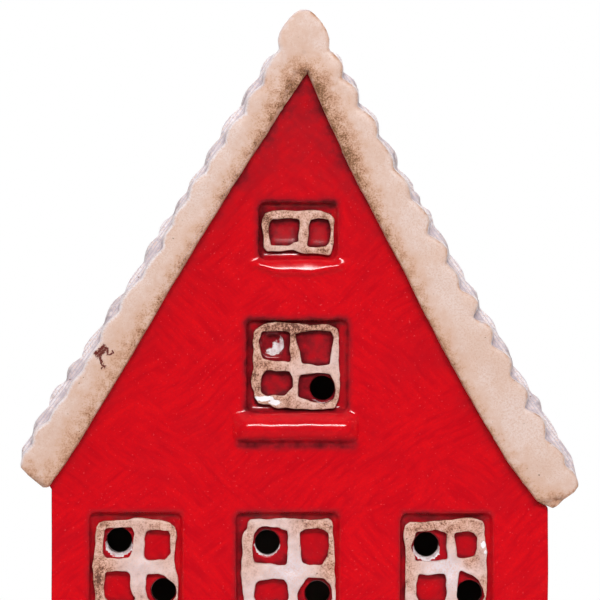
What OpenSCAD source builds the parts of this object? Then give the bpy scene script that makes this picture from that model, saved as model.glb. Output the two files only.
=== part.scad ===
/* [House] */
// Height from the table to the top of the ridge
house_h = 205; // [198:1:240]
// Width of the walls, left to right
wall_w = 115.5; // [108:0.5:130]
// Depth of the walls, front to back
wall_d = 84; // [80:1:100]
// Thickness of the wall slabs
wall_t = 5; // [4.5:0.5:6]
// Thickness of the floor slab between the walls
floor_t = 5; // [4:0.5:7]
// Thickness of the felt pads under the house
pad_t = 1.5; // [1:0.5:3]
// Diameter of the felt pads
pad_d = 12; // [8:1:16]
// Inset of a pad's rim from the outer wall faces
pad_inset = 4; // [3:0.5:8]

/* [Roof] */
// Sideways place of the ridge from the middle of the house
ridge_shift = 1; // [-2:0.5:3]
// Reach of both eaves beyond the side walls
eave_overhang = 7.3; // [6.5:0.1:9]
// Fall from the top of the ridge to the left eave corner
left_drop = 104.2; // [98:0.2:108]
// Fall from the top of the ridge to the right eave corner
right_drop = 107.9; // [102:0.1:112]
// Reach of the roof beyond the front and back walls
verge_overhang = 3; // [2.5:0.5:5]
// Greatest width of the left verge, seen from the front
left_verge_w = 9.8; // [9:0.1:11]
// Greatest width of the right verge, seen from the front
right_verge_w = 13.1; // [11:0.1:14]
// Depth of the worn edge band at each verge
verge_band = 3; // [1.5:0.5:5]
// Thickness of the roof slab between the gables, below its base line
roof_t = 5; // [4:0.5:6]
// Rise of the proudest shingle course above the base line
course_lift = 2.3; // [1.5:0.1:3]
// Width of the rounded ridge cap
cap_w = 12.1; // [10.5:0.1:13]
// Height of the rounded ridge cap
cap_h = 9.5; // [9:0.1:10.5]

/* [Windows] */
// Depth of the recess that holds each window frame
recess_d = 2; // [1.4:0.1:2.4]
// Corner radius of the recesses
recess_r = 1.2; // [0.6:0.1:2]
// Thickness of the raised lattice
frame_t = 1.6; // [1:0.1:1.9]
// Diameter of the light holes
hole_d = 5.8; // [4.5:0.1:6]
// Width of the attic window
attic_w = 17; // [15:0.5:18.5]
// Height of the attic window
attic_h = 10.3; // [9:0.1:11]
// Sideways place of the attic window
attic_x = -0.4; // [-1.5:0.1:1.5]
// Fall from the ridge to the foot of the attic window
attic_drop = 56.7; // [55:0.1:62]
// Width of the loft window
loft_w = 20.6; // [18:0.1:24]
// Height of the loft window
loft_h = 20.2; // [18:0.1:22]
// Sideways place of the loft window
loft_x = -0.9; // [-4:0.1:4]
// Fall from the ridge to the foot of the loft window
loft_drop = 92.8; // [90:0.1:98]
// Height of the three upper windows
upper_h = 21.6; // [19:0.1:23]
// Fall from the ridge to the foot of the upper windows
upper_drop = 139.6; // [137:0.1:141]
// Width of the upper left window
upper_left_w = 19.8; // [18:0.1:22]
// Sideways place of the upper left window
upper_left_x = -38.2; // [-40:0.1:-34]
// Width of the upper centre window
upper_centre_w = 22.1; // [20:0.1:24]
// Sideways place of the upper centre window
upper_centre_x = -2.6; // [-5:0.1:4]
// Width of the upper right window
upper_right_w = 19.3; // [18:0.1:22]
// Sideways place of the upper right window
upper_right_x = 33.9; // [32:0.1:40]
// Width of the two ground windows
ground_w = 20.4; // [18:0.1:22]
// Height of the two ground windows
ground_h = 21; // [19:0.1:22]
// Height of the foot of the ground windows above the table
ground_z = 22.5; // [19:0.5:24]
// Sideways place of the ground left window
ground_left_x = -37; // [-40:0.5:-34]
// Sideways place of the ground right window
ground_right_x = 35; // [34:0.5:40]
// Reach of the window sills out of the wall
sill_out = 2.7; // [2:0.1:3]
// Height of the window sills
sill_h = 7.2; // [6:0.1:7.5]
// Reach of a sill beyond each side of its window
sill_side = 4.3; // [2:0.1:4.5]
// Height of the thin lip under the attic window
attic_sill_h = 2; // [1.5:0.1:3]

/* [Door] */
// Width of the door leaf
door_w = 17; // [14:0.5:19]
// Height of the door leaf to the top of its arch
door_h = 34; // [30:0.5:36]
// Sideways place of the door
door_x = -1.2; // [-3:0.1:3]
// Thickness of the door leaf in its recess
door_t = 1.4; // [1:0.1:1.8]
// Width of the raised frame round the door
door_frame_w = 2.6; // [2:0.1:3.2]
// Reach of the door frame out of the wall
door_frame_out = 0.8; // [0.4:0.1:1.5]
// Diameter of the door knob
knob_d = 2.4; // [1.8:0.1:3]
// Width of the doorstep
step_w = 27; // [24:0.5:30]
// Height of the doorstep
step_h = 4.5; // [3:0.1:5]
// Reach of the doorstep out of the wall
step_out = 2.9; // [2:0.1:3]

/* [Tealight] */
// Diameter of the battery tealight
light_d = 40; // [38:0.5:42]
// Height of the tealight's cup
light_h = 17; // [15.5:0.5:20]
// Wall of the cup and its deck
cup_t = 1.2; // [0.8:0.1:1.5]
// Height of the flame tip above the deck
flame_h = 20.6; // [16:0.2:24]
// Diameter of the flame tip at the deck
flame_d = 13.6; // [12:0.2:15]
// Wall of the flame tip
flame_t = 1; // [0.8:0.1:1.3]
// Diameter of the coin cell
cell_d = 20; // [18:0.1:20]
// Thickness of the coin cell
cell_t = 3.2; // [2.5:0.1:3.4]
// Thickness of the base plate
base_t = 1.8; // [1.5:0.1:2.2]
// Diameter of the light emitting diode
led_d = 5; // [4.5:0.1:5]
// Height of the diode above the holder
led_h = 8.6; // [6:0.1:9]
// Travel of the switch slider
switch_travel = 2.5; // [2:0.1:3]
// Turn of the battery cover from shut to free, in degrees
cover_turn = 30; // [20:1:40]
// Room between the tealight and each side of the rear arch
arch_room = 3; // [1.5:0.5:4]
// Height of the straight sides of the rear arch
arch_side_h = 27; // [20:1:32]

/* [Hidden] */
$fn = 48;

// Gap between parts that move on each other
gap = 0.3;
// Clearance round a part that is fitted by hand
fit = 0.15;
// Overrun of every cut past the face it opens
cut = 0.5;

// Wall and roof planes, worked out from the driving sizes
front_y = -wall_d / 2;
back_y = wall_d / 2;
inner_front_y = front_y + wall_t;
inner_back_y = back_y - wall_t;
outer_x = wall_w / 2;
inner_x = outer_x - wall_t;
floor_top = pad_t + floor_t;
roof_front_y = front_y - verge_overhang;
roof_back_y = back_y + verge_overhang;
eave_reach = outer_x + eave_overhang;
ridge_point = [ridge_shift, house_h];
cap_foot_z = house_h - cap_h;

// Windows hang from the ridge, but each keeps clear of the window below it
sill_drop = 0.5;
storey_room = 1;
upper_z = max(house_h - upper_drop, ground_z + ground_h + storey_room + sill_h + sill_drop);
loft_z = max(house_h - loft_drop, upper_z + upper_h + storey_room + sill_h + sill_drop);
attic_z = max(house_h - attic_drop, loft_z + loft_h + storey_room + attic_sill_h + sill_drop);

// Fall of the left and right underside below the ridge, where the gables end in a point
gable_fall = 1.49 * cap_h;
gable_point = [ridge_shift + cap_w / 24, house_h - gable_fall];

// Left and right roof base lines, as a start, a direction, an outward normal and a length
LEFT = 0;
RIGHT = 1;
base_runs = [
  [-eave_reach - ridge_shift, -left_drop],
  [eave_reach - ridge_shift, -right_drop]
];
function run_length(side) = norm(base_runs[side]);
function along(side) = base_runs[side] / run_length(side);
function outward(side) = side == LEFT
  ? [along(side)[1], -along(side)[0]]
  : [-along(side)[1], along(side)[0]];
function on_slope(side, s, n) = ridge_point + s * along(side) + n * outward(side);
verge_w = [left_verge_w, right_verge_w];

// Underside of the roof from ridge to eave: place down the slope, width of the verge
under_shares = [
  [[0.11, 0.66], [0.19, 0.79], [0.25, 0.83], [0.47, 0.83], [0.56, 0.86], [0.64, 0.90],
   [0.72, 0.95], [0.83, 0.97], [0.96, 0.99], [1.014, 0.95]],
  [[0.11, 0.48], [0.17, 0.64], [0.23, 0.68], [0.33, 0.755], [0.43, 0.80], [0.52, 0.85],
   [0.58, 0.90], [0.65, 0.94], [0.70, 0.965], [0.78, 0.98], [0.86, 1], [0.91, 0.99],
   [0.95, 0.955], [1, 0.90], [1.026, 0.725]]
];
function underside(side) = [
  for (row = under_shares[side])
    on_slope(side, row[0] * run_length(side), -row[1] * verge_w[side])
];
function under_z(side, x) = lookup(x, underside(side));

// Rounded eave end: reach past the base line's end and depth below it, in verge widths
eave_end_shares = [
  [[0.12, 0.12], [0.20, 0.41], [0.255, 0.86]],
  [[0.13, 0.11], [0.20, 0.24], [0.21, 0.43], [0.25, 0.62]]
];

// Shingle courses: place of the butt down the slope, rise of the butt, rise of the notch below
field_shares = [
  [[0.124, 0.60, 0.20], [0.192, 0.60, 0.20], [0.260, 0.58, 0.22], [0.327, 0.50, 0.18],
   [0.384, 0.52, 0.20], [0.440, 0.50, 0.22], [0.491, 0.60, 0.28], [0.536, 0.58, 0.12],
   [0.604, 0.35, 0.10], [0.671, 0.58, 0.18], [0.756, 0.58, 0.25], [0.812, 0.80, 0.35],
   [0.863, 0.88, 0.38], [0.931, 0.70, 0.25], [0.982, 0.40, 0.10]],
  [[0.111, 0.78, 0.20], [0.172, 0.88, 0.10], [0.244, 0.80, 0.05], [0.316, 0.70, 0.02],
   [0.377, 0.48, 0.20], [0.411, 0.48, 0.20], [0.444, 0.58, 0.15], [0.505, 0.55, 0.15],
   [0.560, 0.40, 0.10], [0.621, 0.48, -0.05], [0.677, 0.38, 0.12], [0.738, 0.40, -0.10],
   [0.805, 0.22, 0.02], [0.849, 0.45, 0.10], [0.899, 0.25, 0.10], [0.965, 0.25, 0.05]]
];
edge_shares = [
  [[0.135, 0.08, -0.50], [0.197, 0, -0.58], [0.265, -0.02, -0.48], [0.333, -0.12, -0.40],
   [0.389, 0.12, -0.30], [0.457, 0, -0.32], [0.496, -0.20, -0.85], [0.558, -0.42, -0.65],
   [0.637, -0.10, -0.50], [0.705, -0.10, -0.55], [0.773, -0.40, -0.60], [0.824, -0.32, -0.50],
   [0.886, -0.28, -0.45], [0.942, 0.20, -0.30], [0.990, -0.08, -0.20]],
  [[0.122, 0.58, -0.20], [0.178, 0.50, -0.30], [0.244, 0.50, -0.20], [0.316, 0.10, -0.32],
   [0.372, 0.08, -0.43], [0.444, 0.25, -0.80], [0.516, 0.20, -0.65], [0.566, -0.28, -0.90],
   [0.627, 0.12, -1.30], [0.682, -0.05, -1.10], [0.749, -0.02, -1.00], [0.816, -0.22, -1.40],
   [0.877, -0.28, -1.30], [0.954, -0.35, -0.85], [0.993, -0.35, -0.50]]
];
// Place of a notch between two butts, and points on each side of it
notch_share = 0.4;
course_steps = 3;
// Place down the slope where the first notch lies, under the ridge cap
head_share = 0.092;
head_rise_share = 0.18;

// Outline of one slope's courses from the ridge cap down to the eave
function butt_fall(a, b, side) = [
  for (k = [0 : course_steps - 1]) let (t = k / course_steps)
    on_slope(side, (a[0] + (b[0] - a[0]) * notch_share * t) * run_length(side),
      (a[2] + (a[1] - a[2]) * cos(90 * t)) * course_lift)
];
function butt_rise(a, b, side) = [
  for (k = [0 : course_steps - 1]) let (t = k / course_steps)
    on_slope(side, (b[0] - (b[0] - a[0]) * (1 - notch_share) * (1 - t)) * run_length(side),
      (a[2] + (b[1] - a[2]) * sin(90 * t)) * course_lift)
];
function course_points(side, rows) = [
  for (p = butt_rise([2 * head_share - rows[0][0], 0, head_rise_share], rows[0], side)) p,
  for (i = [0 : len(rows) - 2]) each concat(
    butt_fall(rows[i], rows[i + 1], side), butt_rise(rows[i], rows[i + 1], side)),
  on_slope(side, rows[len(rows) - 1][0] * run_length(side),
    rows[len(rows) - 1][1] * course_lift)
];
function eave_end(side) = [
  for (row = eave_end_shares[side])
    on_slope(side, run_length(side) + row[0] * verge_w[side], -row[1] * verge_w[side])
];
function reversed(list) = [for (i = [len(list) - 1 : -1 : 0]) list[i]];

// The slope's outer points, kept below the flat seat of the ridge cap
function slope_outline(side, rows) = concat(
  [[ridge_shift, cap_foot_z],
   [ridge_shift + (side == LEFT ? -cap_w : cap_w) / 2, cap_foot_z]],
  [for (p = course_points(side, rows)) if (p[1] < cap_foot_z - gap) p],
  eave_end(side),
  reversed(underside(side)),
  [gable_point, [ridge_shift, gable_point[1] + abs(gable_point[0] - ridge_shift)]]
);

// Outlines in the front plane, drawn out along the depth of the house
module along_y(y0, y1) {
  translate([0, y1, 0]) rotate([90, 0, 0]) linear_extrude(y1 - y0) children();
}

// Outlines in the side plane, drawn out along the width of the house
module along_x(x0, x1) {
  translate([x0, 0, 0]) rotate([90, 0, 90]) linear_extrude(x1 - x0) children();
}

// A rectangle with rounded corners, as points
corner_steps = 4;
function rounded(x0, x1, z0, z1, r) = [
  for (c = [[x1, z1, 0], [x0, z1, 90], [x0, z0, 180], [x1, z0, 270]])
    for (k = [0 : corner_steps]) let (a = c[2] + 90 * k / corner_steps)
      [c[0] - sign(c[0] - (x0 + x1) / 2) * r + r * cos(a),
       c[1] - sign(c[1] - (z0 + z1) / 2) * r + r * sin(a)]
];

// Window rows: middle, foot, width, height
attic_place = [attic_x, attic_z, attic_w, attic_h];
loft_place = [loft_x, loft_z, loft_w, loft_h];
upper_left_place = [upper_left_x, upper_z, upper_left_w, upper_h];
upper_centre_place = [upper_centre_x, upper_z, upper_centre_w, upper_h];
upper_right_place = [upper_right_x, upper_z, upper_right_w, upper_h];
ground_left_place = [ground_left_x, ground_z, ground_w, ground_h];
ground_right_place = [ground_right_x, ground_z, ground_w, ground_h];
function placed(shares, place) = [
  for (p = shares) [place[0] + (p[0] - 0.5) * place[2], place[1] + p[1] * place[3]]
];

// Recess round each frame: left, right, foot and head, as shares of the window
attic_recess_shares = [-0.03, 1.04, -0.10, 1.16];
loft_recess_shares = [-0.05, 1.09, -0.03, 1.03];
left_recess_shares = [-0.03, 1.05, -0.03, 1.06];
centre_recess_shares = [-0.05, 1.03, -0.03, 1.06];
right_recess_shares = [-0.04, 1.06, -0.03, 1.05];

// Hand-cut lattices: outer outline and panes, as shares of the window
attic_outer_shares = [
  [0.05, 0.93], [0.15, 0.99], [0.39, 1], [0.80, 1], [0.93, 0.93], [0.99, 0.80], [1, 0.55],
  [0.99, 0.26], [0.96, 0.08], [0.93, 0], [0.67, 0.01], [0.54, 0.02], [0.44, 0.09],
  [0.33, 0.08], [0.23, 0.06], [0.08, 0.06], [0.04, 0.15], [0.02, 0.37], [0, 0.66], [0.01, 0.80]
];
attic_pane_shares = [
  [[0.15, 0.81], [0.37, 0.81], [0.45, 0.79], [0.52, 0.79], [0.52, 0.60], [0.51, 0.27],
   [0.45, 0.27], [0.37, 0.22], [0.23, 0.21], [0.12, 0.20], [0.11, 0.37], [0.11, 0.60],
   [0.12, 0.73]],
  [[0.68, 0.78], [0.78, 0.80], [0.93, 0.79], [0.94, 0.64], [0.94, 0.42], [0.93, 0.24],
   [0.88, 0.17], [0.76, 0.16], [0.68, 0.18], [0.63, 0.19], [0.64, 0.37], [0.65, 0.64]]
];
loft_outer_shares = [
  [0.07, 0.94], [0.13, 0.99], [0.36, 1.01], [0.55, 0.99], [0.87, 0.98], [0.97, 0.94],
  [1, 0.87], [0.99, 0.57], [1.01, 0.40], [1, 0.25], [0.99, 0.11], [0.94, 0.02], [0.80, 0],
  [0.53, 0], [0.42, 0.02], [0.27, 0.02], [0.19, 0.06], [0.08, 0.07], [0.03, 0.14],
  [0.03, 0.21], [-0.01, 0.34], [0.02, 0.47], [0.02, 0.67], [0, 0.78], [0.02, 0.90]
];
loft_pane_shares = [
  [[0.12, 0.90], [0.28, 0.90], [0.44, 0.89], [0.43, 0.75], [0.44, 0.55], [0.28, 0.56],
   [0.13, 0.59], [0.10, 0.67], [0.09, 0.78]],
  [[0.49, 0.88], [0.72, 0.91], [0.90, 0.91], [0.92, 0.83], [0.90, 0.67], [0.88, 0.52],
   [0.75, 0.51], [0.57, 0.54], [0.55, 0.67], [0.52, 0.77]],
  [[0.17, 0.45], [0.43, 0.44], [0.46, 0.37], [0.47, 0.26], [0.42, 0.22], [0.38, 0.17],
   [0.19, 0.16], [0.11, 0.20], [0.10, 0.30], [0.12, 0.39]],
  [[0.55, 0.40], [0.75, 0.42], [0.89, 0.41], [0.94, 0.31], [0.95, 0.22], [0.92, 0.13],
   [0.83, 0.08], [0.67, 0.09], [0.58, 0.13], [0.53, 0.15], [0.53, 0.28]]
];
left_outer_shares = [
  [0.04, 0.91], [0.07, 0.96], [0.13, 0.98], [0.30, 0.98], [0.48, 1], [0.68, 0.99],
  [0.84, 0.97], [0.92, 0.95], [0.98, 0.91], [0.99, 0.86], [0.98, 0.73], [0.97, 0.56],
  [0.99, 0.40], [1.01, 0.30], [1.01, 0.14], [0.99, 0.06], [0.94, 0.01], [0.68, 0],
  [0.33, 0.01], [0.09, 0.01], [0.04, 0.08], [0.02, 0.23], [0.01, 0.40], [-0.01, 0.48],
  [0.01, 0.58], [0.03, 0.73]
];
left_pane_shares = [
  [[0.15, 0.88], [0.21, 0.90], [0.46, 0.90], [0.48, 0.84], [0.47, 0.69], [0.43, 0.58],
   [0.28, 0.57], [0.15, 0.58], [0.12, 0.63], [0.12, 0.73], [0.14, 0.81]],
  [[0.63, 0.86], [0.77, 0.87], [0.89, 0.87], [0.91, 0.82], [0.91, 0.62], [0.84, 0.55],
   [0.64, 0.55], [0.61, 0.58], [0.61, 0.78]],
  [[0.15, 0.42], [0.41, 0.43], [0.44, 0.40], [0.44, 0.25], [0.47, 0.18], [0.50, 0.14],
   [0.46, 0.10], [0.30, 0.11], [0.18, 0.11], [0.14, 0.15], [0.13, 0.29]],
  [[0.64, 0.40], [0.77, 0.40], [0.85, 0.38], [0.91, 0.33], [0.95, 0.26], [0.96, 0.20],
   [0.93, 0.11], [0.85, 0.07], [0.71, 0.08], [0.64, 0.14], [0.62, 0.25], [0.63, 0.34]]
];
centre_outer_shares = [
  [0.07, 0.96], [0.10, 0.99], [0.22, 1], [0.62, 1], [0.75, 0.99], [0.85, 0.99],
  [0.91, 1.005], [0.95, 0.98], [0.97, 0.91], [0.98, 0.80], [0.99, 0.61], [0.99, 0.40],
  [1, 0.22], [1, 0.09], [0.95, 0.01], [0.52, 0], [0.12, 0.01], [0.03, 0.05], [0.02, 0.17],
  [0.01, 0.26], [0, 0.45], [0.01, 0.61], [0.01, 0.80], [0.03, 0.86], [0.06, 0.89]
];
centre_pane_shares = [
  [[0.18, 0.89], [0.22, 0.91], [0.40, 0.90], [0.49, 0.87], [0.49, 0.69], [0.48, 0.50],
   [0.28, 0.51], [0.15, 0.53], [0.13, 0.60], [0.12, 0.72], [0.14, 0.82]],
  [[0.62, 0.85], [0.68, 0.88], [0.81, 0.89], [0.88, 0.88], [0.92, 0.84], [0.92, 0.69],
   [0.90, 0.59], [0.85, 0.50], [0.73, 0.50], [0.65, 0.53], [0.63, 0.61], [0.62, 0.72]],
  [[0.16, 0.30], [0.19, 0.33], [0.26, 0.34], [0.46, 0.34], [0.49, 0.28], [0.49, 0.13],
   [0.47, 0.09], [0.33, 0.09], [0.17, 0.09], [0.14, 0.15], [0.15, 0.24]],
  [[0.68, 0.34], [0.71, 0.37], [0.88, 0.35], [0.94, 0.30], [0.96, 0.22], [0.96, 0.13],
   [0.92, 0.06], [0.81, 0.05], [0.67, 0.06], [0.61, 0.10], [0.60, 0.18], [0.63, 0.27]]
];
right_outer_shares = [
  [0.01, 0.92], [0.07, 0.97], [0.25, 0.97], [0.49, 0.98], [0.70, 1], [0.87, 1],
  [0.95, 0.98], [0.97, 0.94], [0.97, 0.82], [0.99, 0.67], [1, 0.47], [1, 0.32],
  [1, 0.16], [0.97, 0.05], [0.84, 0], [0.19, 0.005], [0.05, 0.03], [0.01, 0.12],
  [0.01, 0.37], [0.01, 0.57], [0, 0.78]
];
right_pane_shares = [
  [[0.14, 0.85], [0.22, 0.86], [0.39, 0.87], [0.50, 0.84], [0.51, 0.69], [0.53, 0.61],
   [0.52, 0.56], [0.39, 0.54], [0.14, 0.54], [0.12, 0.61], [0.10, 0.69], [0.12, 0.78]],
  [[0.61, 0.84], [0.77, 0.86], [0.84, 0.84], [0.88, 0.79], [0.88, 0.67], [0.85, 0.60],
   [0.78, 0.58], [0.64, 0.58], [0.63, 0.67]],
  [[0.17, 0.40], [0.34, 0.39], [0.49, 0.40], [0.51, 0.34], [0.51, 0.20], [0.48, 0.10],
   [0.19, 0.10], [0.15, 0.17], [0.15, 0.30]],
  [[0.66, 0.42], [0.68, 0.44], [0.82, 0.39], [0.90, 0.33], [0.95, 0.245], [0.96, 0.16],
   [0.92, 0.08], [0.80, 0.045], [0.67, 0.07], [0.64, 0.14], [0.65, 0.30]]
];

// Light holes of each window; the loft's upper left hole is stopped by its glaze
loft_hole_shares = [[0.80, 0.25]];
loft_blind_shares = [[0.24, 0.755]];
left_hole_shares = [[0.31, 0.76], [0.83, 0.215]];
centre_hole_shares = [[0.275, 0.735], [0.805, 0.19]];
right_hole_shares = [[0.27, 0.715], [0.79, 0.19]];
blind_d = 1.2;

// Sill profile from the wall's face: reach out of the wall, height above the sill's foot
sill_profile_shares = [
  [0, 1], [0.45, 0.93], [0.82, 0.76], [1, 0.58], [1, 0.36], [0.9, 0.16], [0.65, 0.04],
  [0.35, 0], [0, 0]
];
sill_r = 1.6;

// Arched outline of the doorway, from its foot up
arch_steps = 16;
function arch(x, w, z0, h) = [
  [x - w / 2, z0],
  [x + w / 2, z0],
  for (k = [0 : arch_steps]) let (a = 180 * k / arch_steps)
    [x + w / 2 * cos(a), z0 + h - w / 2 + w / 2 * sin(a)]
];
step_top = pad_t + step_h;
door_recess_d = recess_d;
plank_gap = 0.5;
plank_count = 4;
knob_reach = 1.6;
knob_height = 0.45 * door_h;

// Ridge cap outline: half widths and heights, as shares of the cap
cap_shares = [
  [0.93, 0], [0.985, 0.14], [1, 0.31], [0.98, 0.48], [0.90, 0.64], [0.77, 0.79], [0.58, 0.90],
  [0.30, 0.98], [0, 1]
];

// Tealight sizes that follow from its cup, cell and clearances
light_z = floor_top + gap;
cup_r = light_d / 2;
cup_in_r = cup_r - cup_t;
base_r = cup_in_r - fit;
deck_z = light_h - cup_t;
cell_r = cell_d / 2;
tray_wall = 0.8;
tray_in_r = cell_r + fit;
tray_r = tray_in_r + tray_wall;
cover_up = 0.2;
cover_t = 1.2;
cell_z = cover_up + cover_t;
tray_top = cell_z + 0.6 * cell_t;
mouth_r = tray_r + gap;
lug_reach = 1.1;
lug_r = mouth_r + lug_reach;
lug_t = 0.8;
lug_z = base_t + gap;
lug_angle = 24;
notch_room = 2;
well_wall = 1;
well_in_r = lug_r + gap;
well_r = well_in_r + well_wall;
strip_t = 0.3;
strip_w = 4;
strip_drop = 1;
cell_top = cell_z + cell_t;
well_top = cell_top + gap + strip_drop + strip_t;
holder_t = 1.2;
holder_top = well_top + holder_t;
post_r = 4;
flange_t = 1.2;
flange_r = flame_d / 2 + 1.4;
collar_top = deck_z - flange_t;
led_rim_t = 1;
led_bore_r = led_d / 2 - gap;
led_leg = 0.5;
led_pitch = 2.54;
screw_d = 1.6;
screw_head_d = 3.2;
screw_head_t = 1;
screw_len = 8;
boss_r = 2.1;
screw_ring_r = well_r + gap + boss_r;
screw_angles = [60, 120];
slider_knob_l = 3.4;
slider_w = 3;
slider_t = 0.9;
slider_l = slider_knob_l + 2 * switch_travel;
slot_w = 2.2;
slider_r = well_r + gap + slider_w / 2;
blade_post = 1.6;
blade_post_x = slider_l / 2 + switch_travel / 2 + gap + blade_post / 2;
blade_z = base_t + 2 * gap + slider_t;
coin_slot_w = 1.6;
coin_slot_d = 0.5;
arch_w = light_d + 2 * arch_room;
arch_h = arch_side_h + arch_w / 2;

// Gable wall outline under the roof slopes
gable_outline = concat(
  [[-outer_x, pad_t], [-outer_x, under_z(LEFT, -outer_x)]],
  [for (p = reversed(underside(LEFT))) if (p[0] > -outer_x) p],
  [gable_point],
  [for (p = underside(RIGHT)) if (p[0] < outer_x) p],
  [[outer_x, under_z(RIGHT, outer_x)], [outer_x, pad_t]]
);

// Pocket for one window frame, sunk in the front wall
module recess(place, shares) {
  along_y(front_y - cut, front_y + recess_d)
    polygon(rounded(
      place[0] + (shares[0] - 0.5) * place[2], place[0] + (shares[1] - 0.5) * place[2],
      place[1] + shares[2] * place[3], place[1] + shares[3] * place[3], recess_r));
}

// Round holes drilled back from the front, down to the given depth
module light_holes(place, shares, depth) {
  for (p = placed(shares, place))
    translate([p[0], front_y - cut, p[1]]) rotate([-90, 0, 0])
      cylinder(d = hole_d, h = depth + cut);
}

// Front slab: gable with window recesses, light holes and the doorway
module front_wall() {
  color("#d91020") difference() {
    along_y(front_y, inner_front_y) polygon(gable_outline);
    recess(attic_place, attic_recess_shares);
    recess(loft_place, loft_recess_shares);
    recess(upper_left_place, left_recess_shares);
    recess(upper_centre_place, centre_recess_shares);
    recess(upper_right_place, right_recess_shares);
    recess(ground_left_place, centre_recess_shares);
    recess(ground_right_place, left_recess_shares);
    light_holes(loft_place, loft_hole_shares, wall_t + cut);
    light_holes(loft_place, loft_blind_shares, recess_d + blind_d);
    light_holes(upper_left_place, left_hole_shares, wall_t + cut);
    light_holes(upper_centre_place, centre_hole_shares, wall_t + cut);
    light_holes(upper_right_place, right_hole_shares, wall_t + cut);
    light_holes(ground_left_place, centre_hole_shares, wall_t + cut);
    light_holes(ground_right_place, left_hole_shares, wall_t + cut);
    along_y(front_y - cut, front_y + door_recess_d)
      polygon(arch(door_x, door_w, step_top, door_h));
  }
}

// Back slab: the same gable with the arch that the tealight goes in by
module back_wall() {
  color("#d91020") difference() {
    along_y(inner_back_y, back_y) polygon(gable_outline);
    translate([0, inner_back_y - cut, floor_top + arch_side_h]) rotate([-90, 0, 0])
      cylinder(d = arch_w, h = wall_t + 2 * cut);
    translate([-arch_w / 2, inner_back_y - cut, floor_top])
      cube([arch_w, wall_t + 2 * cut, arch_side_h]);
  }
}

// Side slabs between the gables, bevelled on top to the roof's underside
module side_wall_left() {
  color("#d91020") along_y(inner_front_y, inner_back_y) polygon(concat(
    [[-outer_x, pad_t], [-outer_x, under_z(LEFT, -outer_x)]],
    [for (p = reversed(underside(LEFT))) if (p[0] > -outer_x && p[0] < -inner_x) p],
    [[-inner_x, under_z(LEFT, -inner_x)], [-inner_x, pad_t]]));
}
module side_wall_right() {
  color("#d91020") along_y(inner_front_y, inner_back_y) polygon(concat(
    [[inner_x, pad_t], [inner_x, under_z(RIGHT, inner_x)]],
    [for (p = underside(RIGHT)) if (p[0] < outer_x && p[0] > inner_x) p],
    [[outer_x, under_z(RIGHT, outer_x)], [outer_x, pad_t]]));
}

// Floor slab inside the four walls
module floor_slab() {
  color("#e8ddd0") translate([-inner_x, inner_front_y, pad_t])
    cube([2 * inner_x, inner_back_y - inner_front_y, floor_t]);
}

// Place down the slope where the slab starts to be hollowed out
hollow_share = 0.2;

// Hollow under one slope, between the gables and inside the side wall
module slope_hollow(side) {
  s_top = hollow_share * run_length(side);
  x_in = side == LEFT ? -inner_x : inner_x;
  s_foot = (x_in - ridge_shift + roof_t * outward(side)[0]) / along(side)[0];
  along_y(inner_front_y, inner_back_y) polygon([
    on_slope(side, s_top, -roof_t),
    on_slope(side, s_foot, -roof_t),
    [x_in, under_z(side, x_in) - roof_t],
    on_slope(side, s_top, -verge_w[side] - roof_t)
  ]);
}

// One roof slope: worn edge bands at the verges, full courses between them
module roof_slope(side) {
  color("#e9d7cc") difference() {
    union() {
      along_y(roof_front_y, roof_back_y) polygon(slope_outline(side, edge_shares[side]));
      along_y(roof_front_y + verge_band, roof_back_y - verge_band)
        polygon(slope_outline(side, field_shares[side]));
    }
    slope_hollow(side);
  }
}
module roof_slope_left() {
  roof_slope(LEFT);
}
module roof_slope_right() {
  roof_slope(RIGHT);
}

// Rounded cap along the ridge, on the flat heads of both slopes
module ridge_cap() {
  outline = [for (p = cap_shares) [p[0] * cap_w / 2, p[1] * cap_h]];
  color("#e9d7cc") along_y(roof_front_y, roof_back_y)
    translate([ridge_shift, cap_foot_z]) polygon(concat(
      outline, [for (p = reversed(outline)) if (p[0] > 0) [-p[0], p[1]]]));
}

// One cream lattice in its recess, with its light holes drilled through
module window_frame(place, outer, panes, holes) {
  color("#dcc3a8") difference() {
    along_y(front_y + recess_d - frame_t, front_y + recess_d) difference() {
      polygon(placed(outer, place));
      for (pane = panes) polygon(placed(pane, place));
    }
    light_holes(place, holes, wall_t);
  }
}
module attic_window_frame() {
  window_frame(attic_place, attic_outer_shares, attic_pane_shares, []);
}
module loft_window_frame() {
  window_frame(loft_place, loft_outer_shares, loft_pane_shares, loft_hole_shares);
}
module upper_window_frame_left() {
  window_frame(upper_left_place, left_outer_shares, left_pane_shares, left_hole_shares);
}
module upper_window_frame_centre() {
  window_frame(upper_centre_place, centre_outer_shares, centre_pane_shares, centre_hole_shares);
}
module upper_window_frame_right() {
  window_frame(upper_right_place, right_outer_shares, right_pane_shares, right_hole_shares);
}
module ground_window_frame_left() {
  window_frame(ground_left_place, centre_outer_shares, centre_pane_shares, centre_hole_shares);
}
module ground_window_frame_right() {
  window_frame(ground_right_place, left_outer_shares, left_pane_shares, left_hole_shares);
}

// One rounded sill on the wall's face, under the window at the given place
module sill(place, h) {
  x0 = place[0] - place[2] / 2 - sill_side;
  x1 = place[0] + place[2] / 2 + sill_side;
  z1 = place[1] - sill_drop;
  corner = min(sill_r, h / 2);
  color("#d91020") intersection() {
    along_x(x0, x1)
      polygon([for (p = sill_profile_shares) [front_y - p[0] * sill_out, z1 - h + p[1] * h]]);
    along_y(front_y - sill_out, front_y) polygon(rounded(x0, x1, z1 - h, z1, corner));
  }
}
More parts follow.
